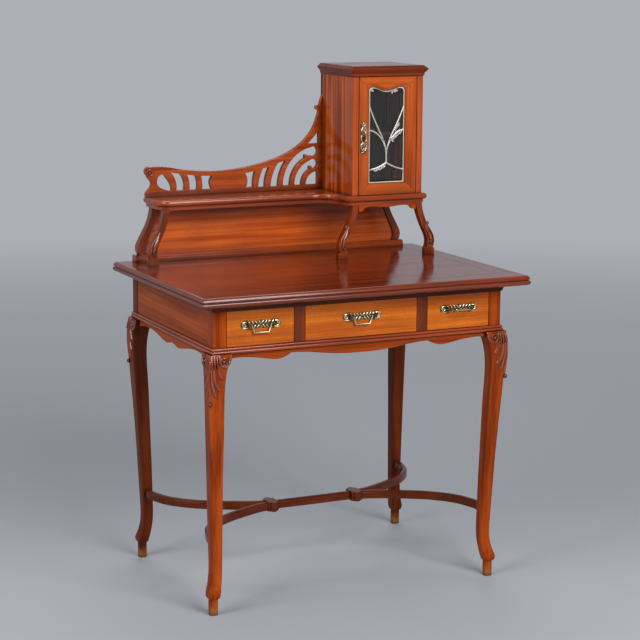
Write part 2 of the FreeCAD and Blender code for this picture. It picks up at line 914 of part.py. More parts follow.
def make_brackets():
    """Two plain brackets at the back, three carved ones in front, and the board between the back pair."""
    back_rise = shelf_low - plinth_top
    front = gallery_back - size.bracket_depth
    left = shaped(bracket(-size.bracket_top, -1, front, size.bracket_depth, back_rise, False))
    piece("bracket_back_left", left)
    piece("bracket_back_right", mirrored(left, "x", ZERO))

    front_rise = shelf_low - size.top_height - size.bracket_foot_height
    gallery_place = shelf_front + size.bracket_margin
    cabinet_place = cabinet_shelf_front + size.bracket_margin
    fronts = []
    for top_x, hand, place in (
        (-size.bracket_top, -1, gallery_place),
        (size.cabinet_left, -1, cabinet_place),
        (cabinet_right, 1, cabinet_place),
    ):
        fronts.append(shaped(bracket(top_x, hand, place, size.front_bracket_depth, front_rise, True)))
    piece("brackets_front", group(fronts))

    face = front + size.back_board_recess
    outer, left_edge = bracket_edges(-size.bracket_top, -1, back_rise)
    outer, right_edge = bracket_edges(size.bracket_top, 1, back_rise)
    left_points = [spot(x, face, z) for x, z in left_edge]
    right_points = [spot(x, face, z) for x, z in right_edge]
    edges = [curve(left_points), curve(right_points)]
    edges += chain([left_points[0], right_points[0]]) + chain([left_points[-1], right_points[-1]])
    board_shape = thick(Part.__sortEdges__(edges), spot(ZERO, size.back_board_thickness, ZERO))
    piece("back_board", shaped(board_shape))


def make_plinth():
    """Stepped plinth along the back of the top."""
    body = document.addObject("PartDesign::Body", "Plinth")
    front = gallery_back - size.plinth_depth
    step = size.plinth_step
    profile = [
        (front, size.top_height),
        (gallery_back, size.top_height),
        (gallery_back, plinth_top),
        (front + step, plinth_top),
        (front + step, plinth_top - step),
        (front, plinth_top - step - step),
    ]
    pad(body, sketch(body, "YZ_Plane", ZERO, profile), size.plinth_length, midplane=True)
    piece("back_plinth", body)


# Sweep of the shelf's front edge from the shallow part to the corner under the cabinet.
SWEEP_SHARES = ((0.0, 0.0), (0.32, 0.05), (0.62, 0.22), (0.78, 0.5), (0.88, 0.76), (1.0, 1.0))
# Rounded left end of the shelf: share of the end's length along X and of the depth along Y.
SHELF_END_SHARES = ((0.0, 0.0), (0.5, 0.08), (0.86, 0.24), (1.0, 0.5))


# Rounded nosing of the shelf: level in shares of its thickness, inset in shares of the rounding.
NOSING_SHARES = (
    (0.0, 1.0), (0.1, 0.45), (0.27, 0.1), (0.45, 0.0),
    (0.6, 0.0), (0.8, 0.15), (0.92, 0.5), (1.0, 1.0),
)


def shelf_plan(inset, level):
    """The outline of the shelf at one level, drawn in by an inset all along its front and ends."""
    left = inset - size.shelf_left_reach
    right = shelf_right - inset
    front = shelf_front + inset
    deep_front = cabinet_shelf_front + inset
    corner = size.cabinet_left - size.cabinet_shelf_margin + inset
    end_length = size.shelf_depth / 4
    sweep = []
    for along, across in SWEEP_SHARES:
        x = size.shelf_sweep_start + (corner - size.shelf_sweep_start) * along
        sweep.append(spot(x, front - (front - deep_front) * across, level))
    end = []
    for along, across in SHELF_END_SHARES:
        end.append(spot(left + end_length * (1 - along), front + (gallery_back - front) * across, level))
    back_left = spot(left, gallery_back, level)
    back_right = spot(right, gallery_back, level)
    deep_right = spot(right, deep_front, level)
    edges = chain([sweep[0], end[0]]) + [curve(end)]
    edges += chain([end[-1], back_left, back_right, deep_right, sweep[-1]])
    return Part.Wire(edges + [curve(sweep[::-1])])


def make_shelf(pockets):
    """Gallery shelf: a rounded upper layer on a thinner one, deeper under the cabinet."""
    parting = size.shelf_top - size.shelf_thickness
    outlines = []
    for height_share, inset_share in NOSING_SHARES:
        level = parting + size.shelf_thickness * height_share
        outlines.append(shelf_plan(size.shelf_round * inset_share, level))
    upper = shaped(Part.makeLoft(outlines, True, True))
    lower_outlines = [shelf_plan(size.shelf_under_inset, level) for level in (shelf_low, parting)]
    lower = shaped(Part.makeLoft(lower_outlines, True, True))
    piece("gallery_shelf", cut(joined([upper, lower]), pockets))


# Upper edge of the fret from its scroll to its tip beside the cabinet.
FRET_TOP_SHARES = (
    (0.05, 0.308), (0.09, 0.308), (0.19, 0.275), (0.31, 0.246), (0.43, 0.242), (0.58, 0.275),
    (0.706, 0.333), (0.855, 0.467), (0.94, 0.64), (0.975, 0.82), (0.985, 0.92), (1.0, 1.0),
)
# Hollow left end of the fret, from its foot up to the scroll.
FRET_END_SHARES = ((0.006, 0.0), (0.012, 0.06), (0.03, 0.1), (0.034, 0.15), (0.016, 0.2), (0.012, 0.23))
# Leaf-shaped opening beside the scroll.
FRET_LEAF_SHARES = (
    (0.095, 0.228), (0.067, 0.17), (0.072, 0.115), (0.092, 0.083), (0.115, 0.066), (0.145, 0.058),
    (0.143, 0.1), (0.13, 0.155), (0.112, 0.205),
)
# Slots: lower left, lower right, upper right and upper left corners, then the bows of the sides.
FRET_SLOT_SHARES = (
    ((0.172, 0.054), (0.214, 0.054), (0.192, 0.226), (0.143, 0.243), 0.012, 0.012),
    ((0.244, 0.054), (0.286, 0.054), (0.278, 0.2), (0.231, 0.213), 0.006, 0.006),
    ((0.315, 0.054), (0.368, 0.054), (0.37, 0.192), (0.309, 0.196), 0.003, -0.012),
    ((0.559, 0.054), (0.601, 0.054), (0.613, 0.221), (0.555, 0.204), 0.012, -0.004),
    ((0.63, 0.05), (0.668, 0.05), (0.693, 0.258), (0.658, 0.246), -0.006, -0.007),
    ((0.7, 0.05), (0.744, 0.05), (0.79, 0.32), (0.742, 0.296), -0.009, -0.012),
)
# Corner opening between the fan, the rising edge and the cabinet.
FRET_CORNER_SHARES = ((0.915, 0.49), (0.978, 0.492), (0.978, 0.62))


def make_fret():
    """Pierced gallery standing on the shelf: scroll, slats, tablet and a fan of ribs by the cabinet."""
    left = -size.fret_left_reach
    length = size.cabinet_left - left
    face = gallery_back - size.fret_thickness
    through = spot(ZERO, size.fret_thickness + size.overrun * 2, ZERO)
    cut_face = face - size.overrun

    def at(share_point, depth):
        along = left + length * share_point[0]
        return spot(along, depth, size.shelf_top + size.fret_height * share_point[1])

    top = [at(point, face) for point in FRET_TOP_SHARES]
    end = [at(point, face) for point in FRET_END_SHARES]
    edges = [curve(top), curve(end)]
    edges += chain([end[-1], top[0]]) + chain([top[-1], at((1.0, 0.0), face), end[0]])
    panel = thick(Part.__sortEdges__(edges), spot(ZERO, size.fret_thickness, ZERO))
    rolls = []
    for share_point, radius in (
        ((0.026, 0.262), size.fret_scroll_radius),
        ((0.972, 0.872), size.fret_knob_radius),
    ):
        centre = at(share_point, face)
        backward = FreeCAD.Vector(0, 1, 0)
        rolls.append(Part.makeCylinder(float(radius), float(size.fret_thickness), centre, backward))
    panel = panel.multiFuse(rolls)

    line = Part.BSplineCurve()
    line.interpolate([at(point, cut_face) for point in FRET_LEAF_SHARES], PeriodicFlag=True)
    openings = [thick([line.toShape()], through)]
    for low_left, low_right, high_right, high_left, left_bow, right_bow in FRET_SLOT_SHARES:
        corners = [at(point, cut_face) for point in (low_left, low_right, high_right, high_left)]
        left_middle = (corners[0] + corners[3]) / 2 + spot(length * left_bow, ZERO, ZERO)
        right_middle = (corners[1] + corners[2]) / 2 + spot(length * right_bow, ZERO, ZERO)
        edges = [Part.Arc(corners[3], left_middle, corners[0]).toShape()]
        edges.append(Part.Arc(corners[1], right_middle, corners[2]).toShape())
        edges += chain([corners[0], corners[1]]) + chain([corners[2], corners[3]])
        openings.append(thick(Part.__sortEdges__(edges), through))
    corner = [at(point, cut_face) for point in FRET_CORNER_SHARES]
    openings.append(thick(chain(corner + corner[:1]), through))
    openings += fan_openings(cut_face, through.y)
    piece("fretwork", shaped(panel.cut(openings)))


# Turn of the buds about the centre of the fan.
FAN_BUD_TURN = math.radians(66)
# Round head of a fan slot, in shares of the slot's width.
FAN_HEAD_SHARE = 0.62


def fan_openings(cut_face, depth):
    """Two curved slots with round heads and buds, and a small quarter-round, about one centre."""
    centre = spot(size.cabinet_left - size.fan_stile, cut_face, size.shelf_top + size.fret_rail)
    axis = FreeCAD.Vector(0, 1, 0)
    reach = float(size.fan_radius)
    keep = Part.makeBox(reach, depth, reach, centre - FreeCAD.Vector(reach, 0, 0))
    outer = size.fan_radius
    openings = []
    for ring in range(2):
        inner = outer - size.fan_slot
        head_radius = size.fan_slot * FAN_HEAD_SHARE
        band = Part.makeCylinder(float(outer), depth, centre, axis)
        band = band.cut(Part.makeCylinder(float(inner), depth, centre, axis))
        field_corner = centre - spot(size.fan_radius + head_radius, ZERO, ZERO)
        band = band.common(Part.makeBox(reach, depth, reach, field_corner))
        head_place = centre + spot(-head_radius, ZERO, outer - head_radius)
        head = Part.makeCylinder(float(head_radius), depth, head_place, axis)
        bud_reach = inner + size.bud_radius / 2
        bud_aside = bud_reach * math.cos(FAN_BUD_TURN)
        bud_place = centre + spot(-bud_aside, ZERO, bud_reach * math.sin(FAN_BUD_TURN))
        bud = Part.makeCylinder(float(size.bud_radius), depth, bud_place, axis)
        openings.append(band.fuse(head).cut(bud))
        outer = inner - size.fan_rib
    openings.append(Part.makeCylinder(float(outer), depth, centre, axis).common(keep))
    return openings


# Cornice of the cabinet: level in shares of its height, overhang in shares of its reach.
CORNICE_SHARES = ((0.0, 0.0), (0.1, 0.25), (0.28, 0.25), (0.5, 0.75), (0.64, 1.0), (0.72, 1.0), (1.0, 0.1))
# Half of the cabinet apron from its middle.
CABINET_VALANCE_SHARES = (
    ((0.0, 0.5), (0.2, 0.42), (0.45, 0.28), (0.66, 0.3), (0.78, 0.48), (0.84, 0.78)),
    ((0.84, 0.78), (0.9, 0.98), (1.0, 0.95)),
)


def make_cabinet(top_pockets, stile_mortise):
    """Small glazed cupboard: stiles, sides, back, inner shelf, cornice and apron."""
    low = size.shelf_top
    stile_back = cabinet_front + size.cabinet_stile_depth
    stile_right = size.cabinet_left + size.cabinet_stile_width
    left_stile = board((size.cabinet_left, cabinet_front, low), (stile_right, stile_back, cabinet_top))
    right_stile = board(
        (cabinet_right - size.cabinet_stile_width, cabinet_front, low),
        (cabinet_right, stile_back, cabinet_top),
    )
    piece("cabinet_stiles", group([cut(left_stile, [stile_mortise]), right_stile]))

    back_front = gallery_back - size.cabinet_back_thickness
    inner_left = size.cabinet_left + size.cabinet_side_thickness
    inner_right = cabinet_right - size.cabinet_side_thickness
    left_side = board((size.cabinet_left, stile_back, low), (inner_left, back_front, cabinet_top))
    right_side = board((inner_right, stile_back, low), (cabinet_right, back_front, cabinet_top))
    piece("cabinet_sides", group([left_side, right_side]))
    back = board((size.cabinet_left, back_front, low), (cabinet_right, gallery_back, cabinet_top))
    piece("cabinet_back", back)
    shelf_level = low + size.cabinet_shelf_rise
    shelf = board(
        (inner_left, stile_back + size.cabinet_shelf_setback, shelf_level),
        (inner_right, back_front, shelf_level + size.cabinet_shelf_thickness),
    )
    piece("cabinet_inner_shelf", shelf)

    rings = []
    for height_share, reach_share in CORNICE_SHARES:
        level = cabinet_top + size.cornice_height * height_share
        out = size.cornice_reach * reach_share
        corners = [
            spot(size.cabinet_left - out, cabinet_front - out, level),
            spot(cabinet_right + out, cabinet_front - out, level),
            spot(cabinet_right + out, gallery_back, level),
            spot(size.cabinet_left - out, gallery_back, level),
        ]
        rings.append(Part.makePolygon(corners + corners[:1]))
    piece("cabinet_cornice", cut(shaped(Part.makeLoft(rings, True, True)), top_pockets))

    face = cabinet_shelf_front + size.bracket_margin
    half_span = size.cabinet_width / 2
    middle = size.cabinet_left + half_span

    def on_front(along, up):
        return spot(middle + along, face, shelf_low + up)

    span = half_span - size.bracket_thickness
    outline = valance_outline(CABINET_VALANCE_SHARES, span, size.cabinet_valance_drop, on_front)
    apron = shaped(thick(outline, spot(ZERO, size.cabinet_valance_thickness, ZERO)))
    front_brackets = next(item for item in pieces if item.Label == "brackets_front")
    piece("cabinet_valance", cut(apron, [front_brackets]))


# Upper edge of the glass from corner to middle: along in shares of half its width, down in the dip.
GLASS_TOP_SHARES = ((0.0, 0.75), (0.06, 0.25), (0.2, 0.0), (0.42, 0.18), (0.7, 0.75), (1.0, 1.0))
# Leads of the door: across in shares of the glass width, up in shares of its height.
LEAD_SHARES = (
    ((0.0, 0.84), (0.13, 0.69), (0.35, 0.505), (0.46, 0.395), (0.5, 0.28), (0.5, 0.2)),
    ((0.0, 0.555), (0.19, 0.53), (0.36, 0.465), (0.455, 0.38)),
    ((0.0, 0.136), (0.2, 0.155), (0.36, 0.18), (0.5, 0.215)),
)


def glass_outline(inset, depth):
    """The glazed opening with its serpentine top, drawn in by an inset."""
    middle = (glass_left + glass_right) / 2
    half = middle - glass_left - inset
    edges = []
    for hand in (1, -1):
        points = []
        for along, down in GLASS_TOP_SHARES:
            x = middle - half * ((1 - along) * hand)
            points.append(spot(x, depth, glass_top - inset - size.door_top_dip * down))
        low = spot(middle - half * hand, depth, glass_low + inset)
        edges.append(curve(points))
        edges += chain([points[0], low])
        edges += chain([low, spot(middle, depth, glass_low + inset)])
    return Part.__sortEdges__(edges)


def ribbon(points, width, direction):
    """A strip of lead of even width along a smooth line."""
    line = Part.BSplineCurve()
    line.interpolate(points)
    sides = ([], [])
    count = len(points) * 2
    for index in range(count + 1):
        station = line.FirstParameter + (line.LastParameter - line.FirstParameter) * index / count
        along = line.tangent(station)[0]
        across = FreeCAD.Vector(-along.z, 0, along.x) * (float(width) / 2)
        here = line.value(station)
        sides[0].append(here + across)
        sides[1].append(here - across)
    edges = [curve(sides[0]), curve(sides[1])]
    edges += chain([sides[0][0], sides[1][0]]) + chain([sides[0][-1], sides[1][-1]])
    return thick(Part.__sortEdges__(edges), direction)


def make_glazing():
    """Bevelled panes held in leads."""
    came_face = cabinet_front + size.glass_setback
    came_depth = spot(ZERO, size.came_thickness, ZERO)
    border = thick(glass_outline(ZERO, came_face), came_depth)
    border = border.cut(thick(glass_outline(size.came_width, came_face), came_depth))
    field = thick(glass_outline(size.came_width / 2, came_face), came_depth)
    strips = []
    for lead in LEAD_SHARES:
        for hand in (1, -1):
            points = []
            for across, up in lead:
                middle = (glass_left + glass_right) / 2
                x = middle - (glass_right - glass_left) * ((0.5 - across) * hand)
                points.append(spot(x, came_face, glass_low + (glass_top - glass_low) * up))
            strips.append(ribbon(points, size.came_width, came_depth).common(field))
    came = border.multiFuse(strips).removeSplitter()
    piece("door_came", shaped(came))
    pane_face = came_face + (size.came_thickness - size.glass_thickness) / 2
    sheet_of_glass = thick(glass_outline(ZERO, pane_face), spot(ZERO, size.glass_thickness, ZERO))
    piece("door_glass", shaped(sheet_of_glass.cut(came)))


def make_door(pockets):
    """Four mitred members round the glass."""
    thickness = spot(ZERO, size.door_thickness, ZERO)
    outline = glass_outline(ZERO, cabinet_front)
    opening = thick(outline, thickness)
    corners = {
        "low_left": (door_left, door_low, glass_left, glass_low),
        "low_right": (door_right, door_low, glass_right, glass_low),
        "high_right": (door_right, door_top, glass_right, glass_top),
        "high_left": (door_left, door_top, glass_left, glass_top),
    }
    middle_low = glass_top - size.door_top_dip - size.door_top_dip
    names = list(corners)
    members = []
    for first, second in zip(names, names[1:] + names[:1]):
        outer_a = corners[first][:2]
        outer_b = corners[second][:2]
        inner_a = corners[first][2:]
        inner_b = corners[second][2:]
        ring = [outer_a, outer_b, inner_b, inner_a]
        if first == "high_right":
            ring = [outer_a, outer_b, inner_b, (glass_left, middle_low), (glass_right, middle_low), inner_a]
        points = [spot(x, cabinet_front, z) for x, z in ring]
        members.append(thick(chain(points + points[:1]), thickness).cut(opening))
    piece("door_frame", cut(shaped(Part.makeCompound(members)), pockets))


# Lobes of half the door escutcheon, from its crest to its foot.
ESCUTCHEON_SHARES = (
    ((0.0, 1.0), (0.45, 0.93), (0.85, 0.8)),
    ((0.85, 0.8), (0.55, 0.62), (0.75, 0.4)),
    ((0.75, 0.4), (0.6, 0.2), (0.95, 0.0)),
    ((0.95, 0.0), (0.6, -0.2), (0.9, -0.42)),
    ((0.9, -0.42), (0.55, -0.62), (0.9, -0.82)),
    ((0.9, -0.82), (0.5, -0.94), (0.0, -1.0)),
)


def make_escutcheon():
    """Tall scrolled keyhole plate on the free stile of the door."""
    middle = door_left + size.door_stile / 2 - size.door_lock_inset
    level = size.shelf_top + size.escutcheon_rise

    def on_door(along, up):
        return spot(middle + along, cabinet_front, level + up)

    shape = plate(
        size.escutcheon_width / 2,
        size.escutcheon_height / 2,
        ESCUTCHEON_SHARES,
        on_door,
        spot(ZERO, -size.pull_thickness, ZERO),
    )
    start = cabinet_front - size.pull_thickness - size.overrun
    piece("door_escutcheon", cut(shaped(shape), keyhole((middle, start, level), size.overrun * 2)))
    through = size.door_thickness + size.overrun * 2
    return keyhole((middle, cabinet_front - size.overrun, level), through)


def make_door_lock():
    """Lock on the back of the door, whose bolt shoots into the left stile of the cabinet."""
    left = door_left + size.door_lock_inset
    right = left + size.door_lock_width
    level = size.shelf_top + size.escutcheon_rise
    half = size.lock_height / 2
    bolt_half = size.bolt_width / 2
    gap = size.bolt_gap
    bolt_front = door_back + (size.lock_thickness - size.bolt_thickness) / 2
    bolt_back = bolt_front + size.bolt_thickness
    bolt_right = left + size.door_lock_width * 0.75
    case = board((left, door_back, level - half), (right, door_back + size.lock_thickness, level + half))
    channel = board(
        (left - size.overrun, bolt_front - gap, level - bolt_half - gap),
        (bolt_right + gap, bolt_back + gap, level + bolt_half + gap),
    )
    piece("door_lock", cut(case, [channel]))
    bolt = board((left, bolt_front, level - bolt_half), (bolt_right, bolt_back, level + bolt_half))
    piece("door_lock_bolt", bolt)
    stile_inner = size.cabinet_left + size.cabinet_stile_width
    reach = left - size.bolt_travel - size.drawer_gap
    return board(
        (reach, bolt_front - gap, level - bolt_half - gap),
        (stile_inner + size.overrun, bolt_back + gap, level + bolt_half + gap),
    )


def make_pivots():
    """Pin hinges let into the head and foot of the door and into the cornice and shelf."""
    x = door_right - size.pivot_inset
    y = cabinet_front + size.pivot_setback
    half = size.pivot_plate_width / 2
    far = x - size.pivot_plate_length + size.pivot_inset / 2
    near = x + size.pivot_inset / 2
    thickness = size.pivot_plate_thickness
    case_plates = []
    door_plates = []
    pins = []
    case_rooms = []
    door_rooms = []
    for end, wall, outward in ((door_top, cabinet_top, 1), (door_low, size.shelf_top, -1)):
        case_levels = sorted((wall, wall + thickness * outward), key=float)
        door_levels = sorted((end, end - thickness * outward), key=float)
        case_plate = board((far, y - half, case_levels[0]), (near, y + half, case_levels[1]))
        door_plate = board((far, y - half, door_levels[0]), (near, y + half, door_levels[1]))
        start = (x, y, end - size.pivot_length * outward)
        length = size.pivot_length + size.door_end_gap + thickness
        direction = (0, 0, outward)
        pin = rod(size.pivot_radius, length, start, direction)
        loose_bore = rod(size.pivot_radius + size.running_gap, length, start, direction)
        case_plates.append(cut(case_plate, [loose_bore]))
        door_plates.append(cut(door_plate, [pin]))
        pins.append(pin)
        case_rooms.append(case_plate)
        door_rooms += [door_plate, pin]
    piece("pivot_plates_case", group(case_plates))
    piece("pivot_plates_door", group(door_plates))
    piece("pivot_pins", group(pins))
    return case_rooms, door_rooms


make_rails()
make_runners()
make_valances()
make_mouldings()
make_top()
make_stretcher()
make_drawer("left", -inner_side, -divider_edge, keyed=False, raised=False)
make_drawer("middle", -middle_edge, middle_edge, keyed=True, raised=False)
make_drawer("right", divider_edge, inner_side, keyed=False, raised=True)
make_drawer_lock()
make_plinth()
make_brackets()
case_rooms, door_rooms = make_pivots()
make_shelf(case_rooms)
make_fret()
stile_mortise = make_door_lock()
make_cabinet(case_rooms, stile_mortise)
make_glazing()
door_keyhole = make_escutcheon()
make_door(door_rooms + door_keyhole)

document.recompute()

for item in document.Objects:
    if "Invalid" in item.State or "Error" in item.State:
        raise RuntimeError(f"{item.Label} failed: {item.State}")
for item in pieces:
    if item.Shape.isNull() or not item.Shape.isValid():
        raise RuntimeError(f"{item.Label} has no valid shape")

os.makedirs("parts", exist_ok=True)
for item in pieces:
    item.Shape.exportStep(f"parts/{item.Label}.step")
    print(item.Label, len(item.Shape.Solids), round(item.Shape.Volume))
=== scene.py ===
import json
import math
from contextlib import contextmanager

import bpy
from mathutils import Matrix, Vector
from mathutils.bvhtree import BVHTree
from mathutils.geometry import intersect_line_line_2d

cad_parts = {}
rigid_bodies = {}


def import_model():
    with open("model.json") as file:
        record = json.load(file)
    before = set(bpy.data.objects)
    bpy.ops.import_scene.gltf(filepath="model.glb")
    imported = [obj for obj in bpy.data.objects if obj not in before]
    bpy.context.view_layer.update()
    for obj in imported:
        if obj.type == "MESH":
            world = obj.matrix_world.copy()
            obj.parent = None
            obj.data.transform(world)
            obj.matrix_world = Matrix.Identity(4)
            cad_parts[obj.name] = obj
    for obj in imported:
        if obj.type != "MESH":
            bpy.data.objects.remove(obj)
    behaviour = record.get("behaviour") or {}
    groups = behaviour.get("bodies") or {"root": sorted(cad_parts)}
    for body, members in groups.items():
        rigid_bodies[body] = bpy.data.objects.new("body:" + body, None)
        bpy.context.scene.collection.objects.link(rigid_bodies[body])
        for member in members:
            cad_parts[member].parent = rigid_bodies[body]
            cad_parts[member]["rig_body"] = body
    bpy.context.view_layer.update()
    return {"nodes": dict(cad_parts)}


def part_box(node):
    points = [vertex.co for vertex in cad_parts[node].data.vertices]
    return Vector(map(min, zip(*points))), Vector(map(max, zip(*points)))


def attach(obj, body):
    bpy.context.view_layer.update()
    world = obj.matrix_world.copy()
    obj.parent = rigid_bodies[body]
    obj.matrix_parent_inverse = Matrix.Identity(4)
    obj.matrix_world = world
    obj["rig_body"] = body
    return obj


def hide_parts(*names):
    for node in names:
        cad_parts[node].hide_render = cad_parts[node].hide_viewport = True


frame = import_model()

# Legs: four curved square legs of red mahogany, each sawn from one post that runs up past the frieze.
# The knees swell outward, the feet turn out on small blocks that have rubbed pale and lost their polish.
# The grain runs up the leg, and the finish is an old hand-rubbed spirit polish.


def paint(red, green, blue):
    """A matched colour, from its 0 to 255 values to the linear values that a shader takes."""
    linear = []
    for part in (red, green, blue):
        share = part / 255
        linear.append(share / 12.92 if share <= 0.04045 else ((share + 0.055) / 1.055) ** 2.4)
    return (*linear, 1.0)


def feed(tree, node, values):
    """Inputs of a shader node, each joined where its value is a socket and set where it isn't."""
    for name, value in values.items():
        if isinstance(value, bpy.types.NodeSocket):
            tree.links.new(value, node.inputs[name])
        else:
            node.inputs[name].default_value = value


def lay(tree, kind, values=None, **settings):
    """One shader node: its settings first, then its inputs."""
    made = tree.nodes.new("ShaderNode" + kind)
    for name, value in settings.items():
        setattr(made, name, value)
    feed(tree, made, values or {})
    return made


def reckon(tree, operation, *values):
    """One sum on single values."""
    return lay(tree, "Math", dict(enumerate(values)), operation=operation).outputs[0]


def between(tree, value, low, high, first=0.0, last=1.0):
    """The value's place between low and high, held to that range."""
    values = {"Value": value, "From Min": low, "From Max": high, "To Min": first, "To Max": last}
    return lay(tree, "MapRange", values).outputs["Result"]


def blended(tree, share, first, second):
    """Two colours laid over each other by a share."""
    return lay(tree, "Mix", {0: share, 6: first, 7: second}, data_type="RGBA").outputs[2]


def own_place(tree):
    """Object coordinates, which are the piece's own place on the desk in metres."""
    return lay(tree, "TexCoord").outputs["Object"]


def split(tree, vector):
    """The three parts of a place or of a direction."""
    return lay(tree, "SeparateXYZ", {0: vector}).outputs


def new_finish(name):
    """A material with nothing set yet, its node tree and its shader."""
    made = bpy.data.materials.new(name)
    made.use_nodes = True
    return made, made.node_tree, made.node_tree.nodes["Principled BSDF"]


def streaks(tree, along, stretch, detail=3.0, roughness=0.55, twist=0.0):
    """Soft streaks from a noise drawn out by so much along each axis."""
    drawn = lay(tree, "VectorMath", {0: along, 1: stretch}, operation="MULTIPLY").outputs[0]
    values = {"Vector": drawn, "Scale": 1.0, "Detail": detail, "Roughness": roughness, "Distortion": twist}
    return lay(tree, "TexNoise", values).outputs["Fac"]


def group_with(name, wanted, given):
    """An empty shader group with its named sockets."""
    tree = bpy.data.node_groups.new(name, "ShaderNodeTree")
    for label, kind in wanted:
        tree.interface.new_socket(label, in_out="INPUT", socket_type="NodeSocket" + kind)
    for label, kind in given:
        tree.interface.new_socket(label, in_out="OUTPUT", socket_type="NodeSocket" + kind)
    return tree, tree.nodes.new("NodeGroupInput").outputs, tree.nodes.new("NodeGroupOutput")


def raised(tree, height, strength, distance):
    """Relief of the finish itself, too fine to cut into the mesh."""
    return lay(tree, "Bump", {"Strength": strength, "Distance": distance, "Height": height}).outputs[0]


# Mahogany figure along X: how many swings each mark has to the metre, along the grain and across it.
BAND_SWINGS = (1.5, 34, 34)
RIBBON_SWINGS = (2.6, 95, 95)
LINE_SWINGS = (5, 320, 320)
FIBRE_SWINGS = (30, 1500, 1500)
FLECK_SWINGS = (90, 620, 620)
PORE_SWINGS = (150, 2600, 2600)
LINE_SHARE = PORE_SHARE = 0.55
grain, given, shown = group_with(
    "mahogany grain",
    (("Along", "Vector"), ("Pale", "Color"), ("Dark", "Color"), ("Ribbon", "Float"), ("Fleck", "Float")),
    (("Colour", "Color"), ("Sheen", "Float"), ("Relief", "Float")),
)
bands = streaks(grain, given["Along"], BAND_SWINGS, detail=4, roughness=0.5, twist=0.4)
ribbons = streaks(grain, given["Along"], RIBBON_SWINGS, detail=2, roughness=0.5, twist=0.2)
lines = streaks(grain, given["Along"], LINE_SWINGS)
fibres = streaks(grain, given["Along"], FIBRE_SWINGS, detail=2)
flecks = streaks(grain, given["Along"], FLECK_SWINGS, detail=1)
pores = between(grain, streaks(grain, given["Along"], PORE_SWINGS, detail=1), 0.6, 0.72)
striped = reckon(grain, "MULTIPLY", reckon(grain, "SUBTRACT", ribbons, 0.5), given["Ribbon"])
lined = reckon(grain, "MULTIPLY", lines, LINE_SHARE)
figure = reckon(grain, "ADD", reckon(grain, "ADD", bands, striped), lined)
colour = blended(grain, between(grain, figure, 0.54, 1.0), given["Dark"], given["Pale"])
colour = blended(grain, between(grain, fibres, 0.25, 0.8, 0.22, 0.0), colour, given["Dark"])
speck = reckon(grain, "MULTIPLY", between(grain, flecks, 0.62, 0.74), given["Fleck"])
colour = blended(grain, speck, colour, given["Dark"])
colour = blended(grain, reckon(grain, "MULTIPLY", pores, PORE_SHARE), colour, given["Dark"])
sheen = between(grain, lines, 0.3, 0.75, -0.01, 0.02)
feed(grain, shown, {"Colour": colour, "Sheen": sheen, "Relief": fibres})

# Old polish: an occlusion mask darkens corners, cuts and what lies under other parts, which is painted shade
# along with some dark wax and dust; cloudy rubbed patches elsewhere.
CLOUD_SWINGS = (9, 9, 9)
OPEN_GROUND = 0.97
MOST_SHADE_AND_WAX = 0.94
WAX_DULLS = 0.14
polish, given, shown = group_with(
    "old polish",
    (
        ("Colour", "Color"), ("Grime and shade", "Color"), ("Reach", "Float"), ("Depth", "Float"), ("Gloss", "Float"),
        ("Sheen", "Float"),
    ),
    (("Colour", "Color"), ("Roughness", "Float")),
)
# Painted shade: the less open a point is, the more it is darkened towards the brown, with some dark wax.
clear = lay(polish, "AmbientOcclusion", {"Distance": given["Reach"]}, samples=8).outputs["AO"]
hollow = reckon(polish, "MULTIPLY", reckon(polish, "SUBTRACT", OPEN_GROUND, clear), given["Depth"])
shade_and_wax = between(polish, hollow, 0.0, 1.0, 0.0, MOST_SHADE_AND_WAX)
clouds = streaks(polish, own_place(polish), CLOUD_SWINGS, detail=4, roughness=0.6)
rubbed = blended(polish, between(polish, clouds, 0.35, 0.75, 0.0, 0.22), given["Colour"], given["Grime and shade"])
colour = blended(polish, shade_and_wax, rubbed, given["Grime and shade"])
dulled = reckon(polish, "ADD", given["Gloss"], between(polish, clouds, 0.3, 0.8, -0.02, 0.04))
dulled = reckon(polish, "ADD", dulled, reckon(polish, "MULTIPLY", shade_and_wax, WAX_DULLS))
feed(polish, shown, {"Colour": colour, "Roughness": reckon(polish, "ADD", dulled, given["Sheen"])})

GRAIN_TURN = {"X": (0, 0, 0), "Y": (0, 0, math.radians(90)), "Z": (0, math.radians(90), 0)}
STILE_SHIFT = (0.7, 0.3, 0.2)
JOINT_HALF, JOINT_FADE, JOINT_DARK = 0.0002, 0.0007, 0.7
SCUFF_SWINGS = (3, 160, 160)
# Dark brown of wax in the joints, and of the painted shade in corners and cuts.
WAX_AND_SHADE_BROWN = paint(34, 11, 4)


def grain_along(tree, axis, shift=(0, 0, 0)):
    """Object coordinates turned so that the grain runs along one axis of the desk."""
    values = {"Vector": own_place(tree), "Location": shift, "Rotation": GRAIN_TURN[axis]}
    return lay(tree, "Mapping", values).outputs[0]


def past_sides(tree, axes, centre, half):
    """How far a point lies past the sides of a board, on each of two axes."""
    place = split(tree, own_place(tree))
    past = []
    for axis, middle, side in zip(axes, centre, half):
        aside = reckon(tree, "ABSOLUTE", reckon(tree, "SUBTRACT", place[axis], middle))
        past.append(reckon(tree, "SUBTRACT", aside, side))
    return past


def mitred_grain(tree, axes, centre, half):
    """Grain of a mitred frame, along one axis on its rails and the other on its stiles, and its joints."""
    beyond = reckon(tree, "SUBTRACT", *past_sides(tree, axes, centre, half))
    on_stile = reckon(tree, "GREATER_THAN", beyond, 0.0)
    joint = between(tree, reckon(tree, "ABSOLUTE", beyond), JOINT_HALF, JOINT_FADE, JOINT_DARK, 0.0)
    values = {0: on_stile, 4: grain_along(tree, axes[0]), 5: grain_along(tree, axes[1], STILE_SHIFT)}
    return lay(tree, "Mix", values, data_type="VECTOR").outputs[1], joint


